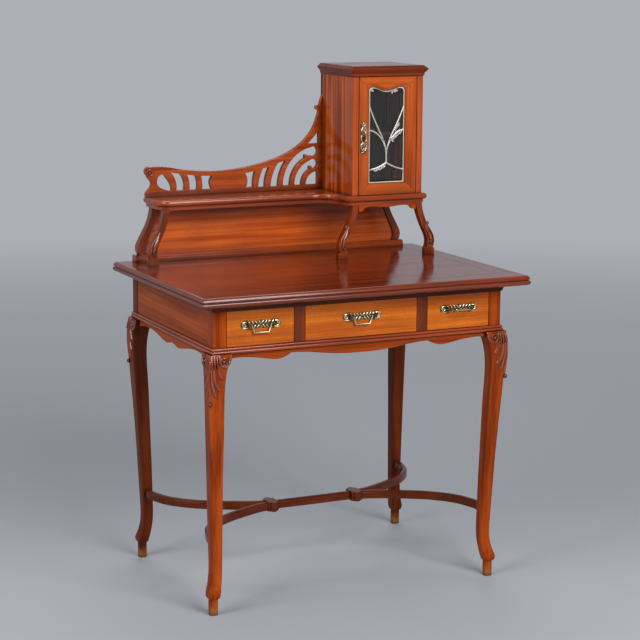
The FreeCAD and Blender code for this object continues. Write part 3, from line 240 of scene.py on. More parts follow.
def mahogany(name, pale, dark, axis="X", gloss=0.13, ribbon=0.5, fleck=0.2, reach=0.012, shift=(0, 0, 0),
             mitre=None, worn=None, shine=0.35, depth=1.2, scuff=0.0):
    """Polished wood of two colours with its grain along an axis, or turning at the mitres of a frame."""
    made, tree, shader = new_finish(name)
    if mitre:
        along, joint = mitred_grain(tree, *mitre)
    else:
        along = grain_along(tree, axis, shift)
    values = {"Along": along, "Pale": paint(*pale), "Dark": paint(*dark), "Ribbon": ribbon, "Fleck": fleck}
    wood = lay(tree, "Group", values, node_tree=grain).outputs
    colour = wood["Colour"]
    if mitre:
        colour = blended(tree, joint, colour, WAX_AND_SHADE_BROWN)
    if worn:
        colour = worn(tree, colour)
    # The polish group paints shade in corners and cuts, as far as reach and as dark as depth.
    values = {
        "Colour": colour, "Grime and shade": WAX_AND_SHADE_BROWN, "Reach": reach, "Depth": depth, "Gloss": gloss,
        "Sheen": wood["Sheen"],
    }
    finish = lay(tree, "Group", values, node_tree=polish).outputs
    rough = finish["Roughness"]
    if scuff:
        scuffs = between(tree, streaks(tree, along, SCUFF_SWINGS), 0.45, 0.68, 0.0, scuff)
        rough = reckon(tree, "ADD", rough, scuffs)
    pores = raised(tree, wood["Relief"], strength=0.1, distance=0.0001)
    feed(tree, shader, {
        "Base Color": finish["Colour"], "Roughness": rough, "Normal": pores, "Specular IOR Level": shine,
    })
    return made


MESH_KINDS = ("vertices", "edges", "polygons")
# How near glued faces and touching corners lie, in metres, and the cosine past which a face is face on.
GLUE_LINE = 0.00003
TOUCHING = 0.00001
FACE_ON = 0.99
# Faces that turn by no more than this many degrees count as one flat face.
FLATNESS = 0.4


@contextmanager
def at_the_bench(whole=True):
    """The active piece in edit mode, with its whole mesh selected unless a part of it is marked."""
    bpy.ops.object.mode_set(mode="EDIT")
    if whole:
        bpy.ops.mesh.select_all(action="SELECT")
    yield
    bpy.ops.object.mode_set(mode="OBJECT")


def put_down():
    """Nothing is selected."""
    bpy.ops.object.select_all(action="DESELECT")


def pick(piece):
    """Only this piece is selected, and it is the active one."""
    put_down()
    piece.select_set(True)
    bpy.context.view_layer.objects.active = piece


def applied(piece, kind, **settings):
    """A modifier added with its settings and applied."""
    pick(piece)
    modifier = piece.modifiers.new(kind.lower(), kind)
    for name, value in settings.items():
        setattr(modifier, name, value)
    bpy.ops.object.modifier_apply(modifier=modifier.name)


def mark(piece, kind, wanted):
    """The vertices, edges or polygons that a test wants are selected, and nothing else is."""
    pick(piece)
    bpy.context.tool_settings.mesh_select_mode = [kind == each for each in MESH_KINDS]
    for each in MESH_KINDS:
        parts = getattr(piece.data, each)
        parts.foreach_set("select", [False] * len(parts))
    for part in getattr(piece.data, kind):
        part.select = wanted(part)


def cut_away(piece, wanted):
    """The faces that a test wants are taken out."""
    mark(piece, "polygons", wanted)
    with at_the_bench(whole=False):
        bpy.ops.mesh.delete(type="FACE")


def glued_up(piece):
    """The faces that meet inside a mitred frame are taken out."""
    skin = BVHTree.FromObject(piece, bpy.context.evaluated_depsgraph_get())

    def inside(face):
        near = skin.find_nearest_range(face.center, GLUE_LINE)
        return any(normal.dot(face.normal) < -FACE_ON for place, normal, index, gap in near)

    cut_away(piece, inside)


def finished(piece, node, finish, width, angle):
    """Sharp edges are eased by hand, and the piece gets its finish and stands in for its solid."""
    piece.data.materials.clear()
    piece.data.materials.append(finish)
    if width:
        pick(piece)
        with at_the_bench():
            bpy.ops.mesh.quads_convert_to_tris(quad_method="BEAUTY", ngon_method="BEAUTY")
            bpy.ops.mesh.beautify_fill(angle_limit=math.radians(FLATNESS))
        applied(
            piece, "BEVEL", width=width, segments=2, limit_method="ANGLE", angle_limit=math.radians(angle),
            use_clamp_overlap=False, loop_slide=False,
        )
    pick(piece)
    bpy.ops.object.shade_smooth_by_angle(angle=math.radians(angle))
    applied(piece, "WEIGHTED_NORMAL", weight=100, keep_sharp=True)
    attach(piece, frame["nodes"][node]["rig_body"])
    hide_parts(node)


def brought_in(name, data):
    """A new object in the scene, for a mesh, a drawing, a lamp or a lens."""
    made = bpy.data.objects.new(name, data)
    bpy.context.scene.collection.objects.link(made)
    return made


def again(piece, name):
    """Another piece of the same shape, with a mesh of its own."""
    return brought_in(name, piece.data.copy())


def eased(node, finish, width=0.0008, angle=34, pierced=False, mitred=False, shape=None):
    """A worked copy of a solid, shaped further where it needs it, with its sharp edges eased."""
    piece = again(frame["nodes"][node], node + "_worked")
    pick(piece)
    if mitred:
        glued_up(piece)
    with at_the_bench():
        bpy.ops.mesh.remove_doubles(threshold=TOUCHING)
        if not (pierced or mitred):
            bpy.ops.mesh.dissolve_limited(angle_limit=math.radians(FLATNESS))
        bpy.ops.mesh.normals_make_consistent(inside=False)
    if piece.data.has_custom_normals:
        bpy.ops.mesh.customdata_custom_splitnormals_clear()
    if shape:
        shape(piece)
    finished(piece, node, finish, width, angle)


LEG_PALE = (200, 86, 24)
LEG_DARK = (122, 45, 9)
# The back legs are the same wood as the front ones, given darker colours as painted shade under the top.
SHADED_BACK_LEG_PALE = (126, 51, 16)
SHADED_BACK_LEG_DARK = (78, 28, 7)
FOOT_WOOD = paint(150, 98, 54)
# Heights between which the polish is rubbed off, and how far its ragged limit swings, in metres.
FOOT_BARE, FOOT_POLISHED = 0.016, 0.033
FOOT_SWINGS = (120, 120, 120)
FOOT_SWING, FOOT_LOWERED = 0.034, 0.013


def bare_feet(tree, colour):
    """Polish rubbed off the foot blocks, with a ragged upper limit."""
    place = own_place(tree)
    ragged = reckon(tree, "MULTIPLY", streaks(tree, place, FOOT_SWINGS, detail=4), FOOT_SWING)
    level = reckon(tree, "ADD", split(tree, place)["Z"], reckon(tree, "SUBTRACT", ragged, FOOT_LOWERED))
    bare = between(tree, level, FOOT_BARE, FOOT_POLISHED, 0.8, 0.0)
    return blended(tree, bare, colour, FOOT_WOOD)


leg_wood = mahogany(
    "leg_mahogany", LEG_PALE, LEG_DARK, "Z", gloss=0.15, ribbon=0.45, worn=bare_feet, shine=0.07,
)
shaded_back_leg_wood = mahogany(
    "back_leg_mahogany_shaded", SHADED_BACK_LEG_PALE, SHADED_BACK_LEG_DARK, "Z", gloss=0.16, ribbon=0.45, worn=bare_feet,
    shine=0.08,
)
for end, wood in (("front", leg_wood), ("back", shaded_back_leg_wood)):
    for side in ("left", "right"):
        eased(f"leg_{end}_{side}", wood, width=0.0007, angle=28)

# Knee carving: a leaf cut into the outer faces of each knee, with a rosette beside the apron and a berry
# below. It is carved in the solid of the leg, so it has the leg's own wood; its cuts are darkened by painted
# shade with some dark wax.

# Height and swell outward in millimetres, and share of the lean, up the knee.
KNEE_RISE = ((440, 4.0, 0.4), (469, 6.25, 0.34), (562, 12.1, 0.1), (600, 12.25, 0.02), (640, 10, 0.0))
# Lines of the leaf, each lying over those before it: (from the corner, height, half width, how far it stands
# up), in millimetres. Tongues from the corner inward, flutes under the bead, a strap, a rosette and its eye.
KNEE_LEAF = (
    ((0, 606, 3.0, 2.0), (-0.5, 575, 4.6, 2.6), (0, 545, 5.0, 2.8), (0.5, 525, 4.0, 2.6), (0, 510, 2.6, 1.6)),
    ((3, 596, 2.8, 2.0), (3, 574, 4.6, 2.6), (5, 553, 5.4, 3.0), (9.5, 537, 5.4, 3.4), (13.5, 525, 4.6, 3.6)),
    (
        (9.5, 597, 3.2, 2.4), (9, 580, 4.8, 2.8), (12, 562, 5.8, 3.2), (17.5, 549, 5.8, 3.6),
        (22.5, 541, 5.0, 3.8),
    ),
    ((17.5, 598, 3.0, 2.6), (19.5, 587, 4.6, 3.0), (24, 577, 5.4, 3.4), (29, 568, 5.0, 3.8)),
    ((3.2, 621, 3.0, 0.0), (3.2, 607, 3.2, 3.0), (3.6, 593, 2.8, 5.6)),
    ((9.8, 621, 3.0, 0.0), (9.8, 607, 3.2, 3.0), (10.4, 593, 2.8, 5.6)),
    ((16.4, 621, 2.9, 0.0), (16.4, 607, 3.1, 3.0), (17.4, 592, 2.6, 5.6)),
    ((22.4, 620, 2.4, 0.0), (22.4, 609, 2.6, 2.6), (22.6, 601, 1.8, 3.4)),
    (
        (51, 618, 2.0, 0.8), (48.5, 604, 2.8, 2.6), (42, 595, 3.2, 3.4), (33, 592.5, 2.8, 3.4),
        (24.5, 598, 1.8, 2.4),
    ),
    (
        (33, 613, 2.0, 2.0), (41, 613, 2.0, 2.4), (41, 597, 2.0, 3.4), (25, 597, 2.0, 3.4),
        (25, 613, 2.0, 2.4), (33, 613, 2.0, 2.0),
    ),
    ((32.9, 605, 4.4, 3.8), (33.1, 605, 4.4, 3.8)),
)
KNEE_LOW, KNEE_HIGH = (-3, 505), (54, 621)
BERRY_HEIGHT = 0.508
BERRY_RADIUS = 5.2
BERRY_OUT = 0.0015
BACK_INSET = 0.0055
# Corner of the case at each leg, the leg's lean and set back in millimetres, and whether its front is carved.
KNEES = (
    ("leg_front_left", (-374, -241), 11, 5, True),
    ("leg_front_right", (374, -241), 6, 0, True),
    ("leg_back_left", (-374, 287), 6, 0, False),
    ("leg_back_right", (374, 287), 6, 0, False),
)
# The power that rounds a form across, how far its ground is sunk in the leg and how thick the carving is.
ROUNDING = 2.6
SUNK = 0.4
CARVING_THICK = 0.0025
SMOOTHING_ROUNDS = 3


def drawn_smooth(line):
    """A drawn line with its corners cut until it runs smoothly."""
    for _ in range(SMOOTHING_ROUNDS):
        cut = [line[0]]
        for first, last in zip(line, line[1:]):
            for share in (0.25, 0.75):
                cut.append(tuple(start + (end - start) * share for start, end in zip(first, last)))
        line = cut + [line[-1]]
    return line


def height_on(across, up, line):
    """Height of a rounded form at a point: full on its line, nothing at its half width, None past that."""
    nearest, height = 1.0, None
    for (x, z, half, stands), (next_x, next_z, next_half, next_stands) in zip(line, line[1:]):
        run, rise = next_x - x, next_z - z
        share = ((across - x) * run + (up - z) * rise) / (run * run + rise * rise)
        share = min(max(share, 0.0), 1.0)
        gap = math.hypot(across - x - run * share, up - z - rise * share)
        gap /= half + (next_half - half) * share
        if gap < nearest:
            nearest = gap
            height = (stands + (next_stands - stands) * share) * (1 - gap ** ROUNDING)
    return height


def relief(name, lines, low, high, step):
    """Carving on a flat ground, in millimetres: each line's form hides those before it, in its own valley."""
    forms = []
    for line in reversed(lines):
        line = drawn_smooth(line)
        reach = max(point[2] for point in line)
        sides = [(min(place) - reach, max(place) + reach) for place in list(zip(*line))[:2]]
        forms.append((line, *sides))
    wide, tall = high[0] - low[0], high[1] - low[1]
    put_down()
    bpy.ops.mesh.primitive_grid_add(
        x_subdivisions=round(wide / step), y_subdivisions=round(tall / step), size=1,
    )
    piece = bpy.context.active_object
    piece.name = name
    bare = set()
    for vertex in piece.data.vertices:
        across = low[0] + (vertex.co.x + 0.5) * wide
        up = low[1] + (vertex.co.y + 0.5) * tall
        height = None
        for line, aside, level in forms:
            if aside[0] < across < aside[1] and level[0] < up < level[1]:
                height = height_on(across, up, line)
                if height is not None:
                    break
        if height is None:
            bare.add(vertex.index)
            height = 0.0
        vertex.co = (across / 1000, (SUNK - height) / 1000, up / 1000)
    cut_away(piece, lambda face: all(corner in bare for corner in face.vertices))
    applied(piece, "SMOOTH", factor=0.5, iterations=1)
    applied(piece, "SOLIDIFY", thickness=CARVING_THICK, offset=-1)
    return piece


def ridges(name, lines, proud):
    """Ridges on a flat ground, as smooth tapering rods: rows of (across, up, half width) in millimetres."""
    drawing = bpy.data.curves.new(name, "CURVE")
    drawing.dimensions = "3D"
    drawing.bevel_depth = 0.001
    drawing.bevel_resolution = 3
    drawing.resolution_u = 6
    drawing.use_fill_caps = True
    for line in lines:
        run = drawing.splines.new("NURBS")
        run.points.add(len(line) - 1)
        for point, (across, up, half) in zip(run.points, line):
            point.co = (across / 1000, 0, up / 1000, 1)
            point.radius = half
        run.order_u = 3
        run.use_endpoint_u = True
    pick(brought_in(name, drawing))
    bpy.ops.object.convert(target="MESH")
    return stood_up(0, 0, proud)


def stood_up(across, up, proud):
    """The active piece drawn out from its ground by a share, and moved to its place on it."""
    with at_the_bench():
        bpy.ops.transform.resize(value=(1, proud, 1), center_override=(0, 0, 0))
        bpy.ops.transform.translate(value=(across / 1000, 0, up / 1000))
    return bpy.context.active_object


def boss(across, up, radius, proud):
    """A round boss on the same flat ground."""
    put_down()
    bpy.ops.mesh.primitive_uv_sphere_add(segments=20, ring_count=12, radius=radius / 1000)
    return stood_up(across, up, proud)


def ring(across, up, radius, thick, proud):
    """A round rim on the same flat ground."""
    put_down()
    bpy.ops.mesh.primitive_torus_add(
        major_segments=28, minor_segments=10, major_radius=radius / 1000, minor_radius=thick / 1000,
        rotation=(math.radians(90), 0, 0),
    )
    bpy.ops.object.transform_apply()
    return stood_up(across, up, proud)


def together(name, pieces):
    """Several pieces joined into the first one's object."""
    put_down()
    for piece in pieces:
        piece.select_set(True)
    bpy.context.view_layer.objects.active = pieces[0]
    bpy.ops.object.join()
    pieces[0].name = name
    pieces[0].data.name = name
    return pieces[0]


def carved(piece, finish, body="desk", skin=0.0, passes=0):
    """Joined forms are worked into one skin of this fineness where it is given, smoothed and finished."""
    if skin:
        applied(piece, "REMESH", mode="VOXEL", voxel_size=skin)
        applied(piece, "SMOOTH", factor=0.5, iterations=passes)
    pick(piece)
    bpy.ops.object.shade_smooth()
    piece.data.materials.clear()
    piece.data.materials.append(finish)
    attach(piece, body)


def outward():
    """The faces of the active piece are turned outward."""
    with at_the_bench():
        bpy.ops.mesh.normals_make_consistent(inside=False)


def set_at(piece, place):
    """The piece's mesh moved to its place on the desk."""
    piece.data.transform(Matrix.Translation(place))


def read_off(rows, at):
    """Values of a drawn curve at a place along it, straight between its rows."""
    for (low, *first), (high, *last) in zip(rows, rows[1:]):
        if at <= high:
            break
    share = (at - low) / (high - low)
    return [start + (end - start) * share for start, end in zip(first, last)]


def knee_corner(height, case, lean, set_back):
    """Where the outer corner of a knee stands at a height, in metres."""
    swell, tilt = read_off(KNEE_RISE, height * 1000)
    x = case[0] + math.copysign(swell + lean * tilt, case[0])
    y = case[1] + math.copysign(swell - set_back * tilt, case[1])
    return x / 1000, y / 1000


leaf = relief("knee_leaf", KNEE_LEAF, KNEE_LOW, KNEE_HIGH, step=0.7)
# The cuts of this carving take strong painted shade from the polish group.
carving_wood = mahogany(
    "carved_knee_mahogany", (190, 80, 24), (114, 42, 10), "Z", gloss=0.1, ribbon=0.3, reach=0.007,
    shine=0.7, depth=3.8,
)
berry_wood = mahogany(
    "berry_mahogany", (104, 42, 20), (58, 22, 10), "Z", gloss=0.1, ribbon=0.3, shine=0.6,
)
for leg, case, lean, set_back, both in KNEES:
    hand, facing = (math.copysign(1, place) for place in case)
    aside = 0.0 if both else BACK_INSET
    faces = [again(leaf, "side_leaf")] + ([again(leaf, "front_leaf")] if both else [])
    for face in faces:
        for vertex in face.data.vertices:
            inward, proud, height = vertex.co.x + aside, -vertex.co.y, vertex.co.z
            x, y = knee_corner(height, case, lean, set_back)
            out, back = (proud, inward) if face is faces[0] else (-inward, -proud)
            vertex.co = (x + hand * out, y - facing * back, height)
    berry = boss(0, 0, BERRY_RADIUS, proud=1.0)
    x, y = knee_corner(BERRY_HEIGHT, case, lean, set_back)
    set_at(berry, (x + hand * BERRY_OUT, y + facing * (BERRY_OUT - aside), BERRY_HEIGHT))
    carving = together(leg.replace("leg_", "knee_carving_"), faces)
    outward()
    carved(carving, carving_wood)
    berry.name = leg.replace("leg_", "knee_berry_")
    carved(berry, berry_wood)
bpy.data.objects.remove(leaf)

# Frame: side panels, back rail, drawer rails and dividers of red mahogany, tenoned into the leg posts.
# Behind them plain oak runners and guides carry the drawers.

RAIL_PALE = (172, 74, 26)
RAIL_DARK = (110, 40, 12)
SIDE_PALE = (192, 90, 36)
SIDE_DARK = (132, 54, 20)
OAK_PALE = (176, 132, 84)
OAK_DARK = (120, 78, 42)
rail_wood = mahogany("rail_mahogany", RAIL_PALE, RAIL_DARK, "X", gloss=0.14, ribbon=0.4, shine=0.3)
side_wood = mahogany("side_mahogany", SIDE_PALE, SIDE_DARK, "Y", gloss=0.24, ribbon=0.6, shine=0.05)
post_wood = mahogany(
    "divider_mahogany", (140, 58, 20), (92, 34, 10), "Z", gloss=0.14, ribbon=0.4, shine=0.3,
)
runner_wood = mahogany("runner_oak", OAK_PALE, OAK_DARK, "Y", gloss=0.62, ribbon=0.3, fleck=0.5)
for node in ("front_drawer_rail", "front_top_rail", "back_rail"):
    eased(node, rail_wood, pierced=True)
for node in ("side_rail_left", "side_rail_right"):
    eased(node, side_wood)
eased("drawer_dividers", post_wood)
eased("drawer_runners", runner_wood, width=0.0003)

# Aprons: thin scalloped boards of red mahogany, bandsawn and glued up under the front rail and the side
# panels. Their lower edges are rounded over by hand.

apron_wood = mahogany(
    "apron_mahogany", (198, 86, 28), RAIL_DARK, gloss=0.14, ribbon=0.3, shift=(0.3, 0.1, 0.2), shine=0.07,
)
eased("valance_front", apron_wood, width=0.0012)
eased("side_valances", side_wood, width=0.0012)

# Mouldings: a reeded bead round the bottom of the frieze and a hollow under the top, of red mahogany.
# They are run with a plane in strips, mitred at the front corners and glued on.

CASE_HALF = (0.374, 0.264)
CASE_CENTRE = (0.0, 0.023)
round_case = ("XY", CASE_CENTRE, CASE_HALF)
bead_wood = mahogany(
    "bead_mahogany", (186, 82, 34), RAIL_DARK, gloss=0.14, reach=0.006, mitre=round_case, shine=0.45,
)
eased("frieze_bead", bead_wood, width=0.0004, mitred=True)
# The hollow under the top takes dark colours and a long reach of darkening: painted shadow under the top's
# edge.
shaded_cove_wood = mahogany(
    "cove_mahogany_shaded", (112, 44, 18), (60, 22, 8), gloss=0.2, reach=0.03, mitre=round_case, shine=0.14,
    depth=1.6,
)
eased("top_cove_moulding", shaded_cove_wood, width=0.0004, mitred=True)

# Top: a wide centre panel of dark mahogany inside four mitred border boards with a moulded edge, screwed to
# the frame from below. It is highly polished, with wax in its joints and dust, nicks and scuffs from use.

TOP_PALE = (144, 54, 23)
TOP_DARK = (86, 28, 10)
BORDER_PALE = (142, 56, 24)
BORDER_DARK = (88, 31, 12)
DUST = paint(176, 140, 120)
TOP_CENTRE = (0.0, 0.0)
TOP_HALF = (0.422, 0.3)
PANEL_LOW, PANEL_HIGH = (Vector(corner).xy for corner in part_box("top_panel"))
PANEL_CENTRE, PANEL_HALF = (PANEL_LOW + PANEL_HIGH) / 2, (PANEL_HIGH - PANEL_LOW) / 2
PANEL_JOINT, PANEL_JOINT_FADE, PANEL_JOINT_DARK = 0.0008, 0.0024, 0.85
PATCH_SWINGS = (9, 9, 9)
NICK_SWINGS = (90, 380, 380)


def used_top(tree, colour):
    """Dark wax in the joint round the centre panel, and pale dust and nicks strewn over the top."""
    past = past_sides(tree, "XY", PANEL_CENTRE, PANEL_HALF)
    from_joint = reckon(tree, "ABSOLUTE", reckon(tree, "MAXIMUM", *past))
    waxed = between(tree, from_joint, PANEL_JOINT, PANEL_JOINT_FADE, PANEL_JOINT_DARK, 0.0)
    colour = blended(tree, waxed, colour, WAX_AND_SHADE_BROWN)
    place = own_place(tree)
    patches = between(tree, streaks(tree, place, PATCH_SWINGS, detail=2), 0.45, 0.62)
    nicks = between(tree, streaks(tree, place, NICK_SWINGS, detail=2), 0.735, 0.775, 0.0, 0.6)
    return blended(tree, reckon(tree, "MULTIPLY", nicks, patches), colour, DUST)


panel_wood = mahogany(
    "top_panel_polish", TOP_PALE, TOP_DARK, "X", gloss=0.1, ribbon=0.8, fleck=0.4, reach=0.004, worn=used_top,
    shine=0.45, scuff=0.11,
)
border_wood = mahogany(
    "top_border_polish", BORDER_PALE, BORDER_DARK, gloss=0.12, ribbon=0.6, mitre=("XY", TOP_CENTRE, TOP_HALF),
    worn=used_top, shine=0.5, scuff=0.1,
)
eased("top_panel", panel_wood, width=0.0004)
eased("top_borders", border_wood, width=0.0004, angle=40, mitred=True)

# Stretcher: a straight bar with a scrolled collar at each end, and four bent arms that run out to the legs.
# All are of red mahogany, doweled together and into the legs.

# Its colours are darker for two causes: a darker wood, and painted shade under the top.
SHADED_ARM_PALE = (108, 44, 17)
SHADED_ARM_DARK = (72, 27, 8)
arm_wood = mahogany(
    "stretcher_mahogany", SHADED_ARM_PALE, SHADED_ARM_DARK, "X", gloss=0.16, ribbon=0.4, shift=(0.1, 0.4, 0.3), shine=0.18,
)
for node in ("stretcher_bar", "stretcher_collars", "stretcher_arms"):
    eased(node, arm_wood)

# Drawers: fronts of honey-coloured mahogany with a lively fleck, dovetailed to thin oak sides and backs.
# The bottoms slide into grooves from behind.

HONEY_PALE = (222, 118, 22)
HONEY_DARK = (172, 76, 8)
SPECK_BROWN = paint(92, 38, 10)
SPECK_PATCH_SWINGS = (14, 14, 14)
DENT_SWINGS = (330, 330, 330)
# Place of each drawer's middle across the desk, in metres.
DRAWERS = {"left": -0.2575, "middle": 0.0, "right": 0.2575}


def speckled(tree, colour):
    """Small dark dents and pin holes of old use."""
    place = own_place(tree)
    patches = between(tree, streaks(tree, place, SPECK_PATCH_SWINGS, detail=2), 0.42, 0.62)
    dents = between(tree, streaks(tree, place, DENT_SWINGS, detail=1), 0.68, 0.74, 0.0, 0.75)
    return blended(tree, reckon(tree, "MULTIPLY", dents, patches), colour, SPECK_BROWN)


honey_wood = mahogany(
    "drawer_honey_mahogany", HONEY_PALE, HONEY_DARK, "X", gloss=0.15, ribbon=0.5, fleck=0.6, reach=0.006,
    worn=speckled, shine=0.3, depth=0.45,
)
box_wood = mahogany("drawer_oak", OAK_PALE, OAK_DARK, "Y", gloss=0.6, ribbon=0.3, fleck=0.5)
for side in DRAWERS:
    eased(f"drawer_{side}_front", honey_wood, width=0.0009, pierced=side == "middle")
    eased(f"drawer_{side}_box", box_wood, width=0.0003)
    eased(f"drawer_{side}_bottom", box_wood, width=0.0004)

# Pulls: cast brass plates with two ears and a hanging bail, held by screws through the drawer front.
# The brass is bright where hands polish it and nearly black in the hollows.

SPOT_SWINGS = (360, 360, 360)
DIRT_DULLS = 0.3


def metal(name, bright, dull, gloss, reach, metallic=1.0, shaded_flanks=False):
    """Worn metal: bright on what stands proud, dark and dull in the hollows; on a lead, its sides turned from
    the front take painted shade.
    """
    made, tree, shader = new_finish(name)
    clear = lay(tree, "AmbientOcclusion", {"Distance": reach}, samples=8).outputs["AO"]
    spots = streaks(tree, own_place(tree), SPOT_SWINGS, detail=4, roughness=0.6)
    patchy = reckon(tree, "ADD", clear, between(tree, spots, 0.3, 0.7, -0.12, 0.12))
    dirt_and_shade = between(tree, patchy, 0.5, 0.96, 1.0, 0.0)
    if shaded_flanks:
        # Painted shade: the sides of a lead that turn away from the front are darkened.
        facing = split(tree, lay(tree, "TexCoord").outputs["Normal"])["Y"]
        turned = between(tree, reckon(tree, "ABSOLUTE", facing), 0.55, 0.92, 1.0, 0.0)
        dirt_and_shade = reckon(tree, "MAXIMUM", dirt_and_shade, turned)
    colour = blended(tree, dirt_and_shade, paint(*bright), paint(*dull))
    rubbed = between(tree, spots, 0.3, 0.75, gloss - 0.06, gloss + 0.1)
    rough = reckon(tree, "ADD", rubbed, reckon(tree, "MULTIPLY", dirt_and_shade, DIRT_DULLS))
    pitted = raised(tree, spots, strength=0.15, distance=0.0003)
    feed(tree, shader, {"Base Color": colour, "Roughness": rough, "Normal": pitted, "Metallic": metallic})
    return made


brass = metal("gilt_brass", (240, 226, 190), (70, 56, 32), gloss=0.22, reach=0.003)
bail_brass = metal("rubbed_brass", (200, 182, 142), (58, 46, 28), gloss=0.26, reach=0.004)
dark_brass = metal("dark_brass", (104, 80, 44), (26, 19, 10), gloss=0.34, reach=0.006)
steel = metal("lock_steel", (150, 146, 140), (70, 62, 54), gloss=0.4, reach=0.006)
for side in DRAWERS:
    eased(f"drawer_{side}_pull", dark_brass, width=0.0003, pierced=True)
    eased(f"drawer_{side}_bail", bail_brass, width=0.0)
for node in ("drawer_lock", "drawer_lock_bolt"):
    eased(node, steel, width=0.0004)

# Cast relief of the plates: leaf strokes, end scrolls and beads from the middle to the right, as rows of
# (across, up, half width) in millimetres, and how far each kind is drawn out from the plate.
PULL_STROKES = (
    ((1, 1.5, 1.2), (2.8, 5, 2.5), (6, 8.4, 1.2)),
    ((9, 1.5, 1.2), (11, 5, 2.6), (14.5, 8.4, 1.2)),
    ((17.5, 1.5, 1.2), (19.5, 5, 2.6), (23, 8.4, 1.2)),
    ((26, 1.5, 1.2), (28, 5, 2.6), (31.5, 8.4, 1.2)),
    ((5.2, -0.6, 1.1), (7, -4, 2.5), (10.5, -7.6, 1.2)),
    ((13.6, -0.6, 1.1), (15.5, -4, 2.5), (19, -7.6, 1.2)),
    ((22, -0.6, 1.1), (24, -4, 2.5), (27.5, -7.6, 1.2)),
    (
        (34.5, 6.6, 1.2), (41, 7.8, 1.9), (46.2, 3.6, 2.0), (44.5, -3.4, 1.9), (38.5, -4.6, 1.6),
        (37, 1, 1.2),
    ),
    ((31, -6.4, 1.0), (39, -8.2, 1.4), (46, -7, 1.0)),
)
PULL_BEADS = ((0, -4.2, 2.0), (32.5, -1.5, 1.8), (47, 7.6, 1.5), (41.2, 1.4, 1.8))
STROKE_PROUD = 0.9
BEAD_PROUD = 1.1
CAST_SKIN = 0.0004
PULL_FACE = -0.2432
PULL_LEVEL = 0.683


def both_hands(lines):
    """A drawing and its mirror image."""
    return [*lines, *[[(-across, *rest) for across, *rest in line] for line in lines]]


for side, middle in DRAWERS.items():
    beads = [
        boss(hand * across, up, radius, BEAD_PROUD) for across, up, radius in PULL_BEADS for hand in (1, -1)
    ]
    strokes = ridges("pull_strokes", both_hands(PULL_STROKES), STROKE_PROUD)
    cast = together(f"pull_relief_{side}", [strokes, *beads])
    set_at(cast, (middle, PULL_FACE, PULL_LEVEL))
    carved(cast, brass, f"drawer_{side}", CAST_SKIN, passes=1)

# Gallery: a stepped plinth, a ribbon-grained back board between two scrolled back brackets, three carved
# front brackets, and the shelf that they carry, which sweeps forward under the cabinet. All are of mahogany,
# doweled to one another and to the top.

BOARD_PALE = (240, 120, 46)
BOARD_DARK = (182, 72, 21)
# Its long reach paints the shadow that the shelf and the cabinet cast on the board; its colours are pale to
# make up for it.
board_wood = mahogany(
    "back_board_ribbon_mahogany", BOARD_PALE, BOARD_DARK, "X", gloss=0.15, ribbon=0.8, fleck=0.55, reach=0.08,
    shine=0.3, depth=0.8,
)
eased("back_plinth", rail_wood)
eased("back_board", board_wood, width=0.0006)
bracket_wood = mahogany("bracket_mahogany", (160, 66, 24), (98, 36, 10), "Z", reach=0.02, shine=0.3)
for node in ("bracket_back_left", "bracket_back_right", "brackets_front"):
    eased(node, bracket_wood, width=0.0009)
shelf_wood = mahogany("shelf_mahogany", (178, 78, 30), (118, 44, 14), "X", shine=0.45)
eased("gallery_shelf", shelf_wood, width=0.0)

# Leaf on each front bracket, drawn as the knee's is: (outward of the middle line, below the head, half
# width, how far it stands up), in millimetres. A lip inside, the leaf's body, its outer lip and a scroll.
BRACKET_LEAF = (
    ((-7, 80, 1.6, 1.4), (-7.2, 92, 2.4, 2.4), (-6.5, 103, 2.6, 2.8), (-3, 111, 2.0, 2.2)),
    (
        (3, 53, 1.6, 0.4), (3.5, 61, 3.8, 2.4), (1.5, 72, 5.8, 5.0), (0, 83, 6.4, 6.6), (-0.5, 99, 6.0, 5.8),
        (0.5, 112, 4.4, 2.8),
    ),
    (
        (5.5, 57, 1.4, 0.8), (8, 68, 2.2, 3.2), (8.4, 82, 2.4, 5.0), (7.4, 98, 2.6, 5.0), (4, 110, 2.4, 3.6),
        (-1, 113, 1.8, 2.6),
    ),
    (
        (2, 103, 1.4, 6.2), (2, 99, 1.5, 6.8), (-3.5, 98, 1.5, 6.8), (-5, 104, 1.5, 6.0),
        (-1, 108.5, 1.5, 5.4), (3, 106, 1.3, 4.6),
    ),
)
BRACKET_LEAF_LOW, BRACKET_LEAF_HIGH = (-9.5, 52), (11, 117)
BRACKET_CURL = ((5, 58, 1.2), (9, 57, 2.0), (11.5, 53, 2.2), (11, 49.5, 1.6))
# Shares of the fall and of the splay, then the splay, half width, height and head in millimetres.
BRACKET_SWEEP = (
    (0.0, 0.0), (0.17, 0.08), (0.36, 0.28), (0.55, 0.57), (0.72, 0.84), (0.84, 0.95), (0.93, 0.93),
    (1.0, 0.83),
)
BRACKET_SPLAY = 38
BRACKET_HALF = 8.5
BRACKET_RISE = 118
BRACKET_HEAD = 895
# Place of each front bracket's head across the desk, its hand, and its front face, in millimetres.
BRACKETS = (("left", -328, -1, 187), ("middle", 143.5, -1, 100), ("right", 339.5, 1, 100))


def on_bracket(head, hand, aside, below):
    """Where a point of the drawing lies across the desk, in millimetres."""
    out = read_off(BRACKET_SWEEP, below / BRACKET_RISE)[0]
    return head + hand * (BRACKET_SPLAY * out - BRACKET_HALF + aside)


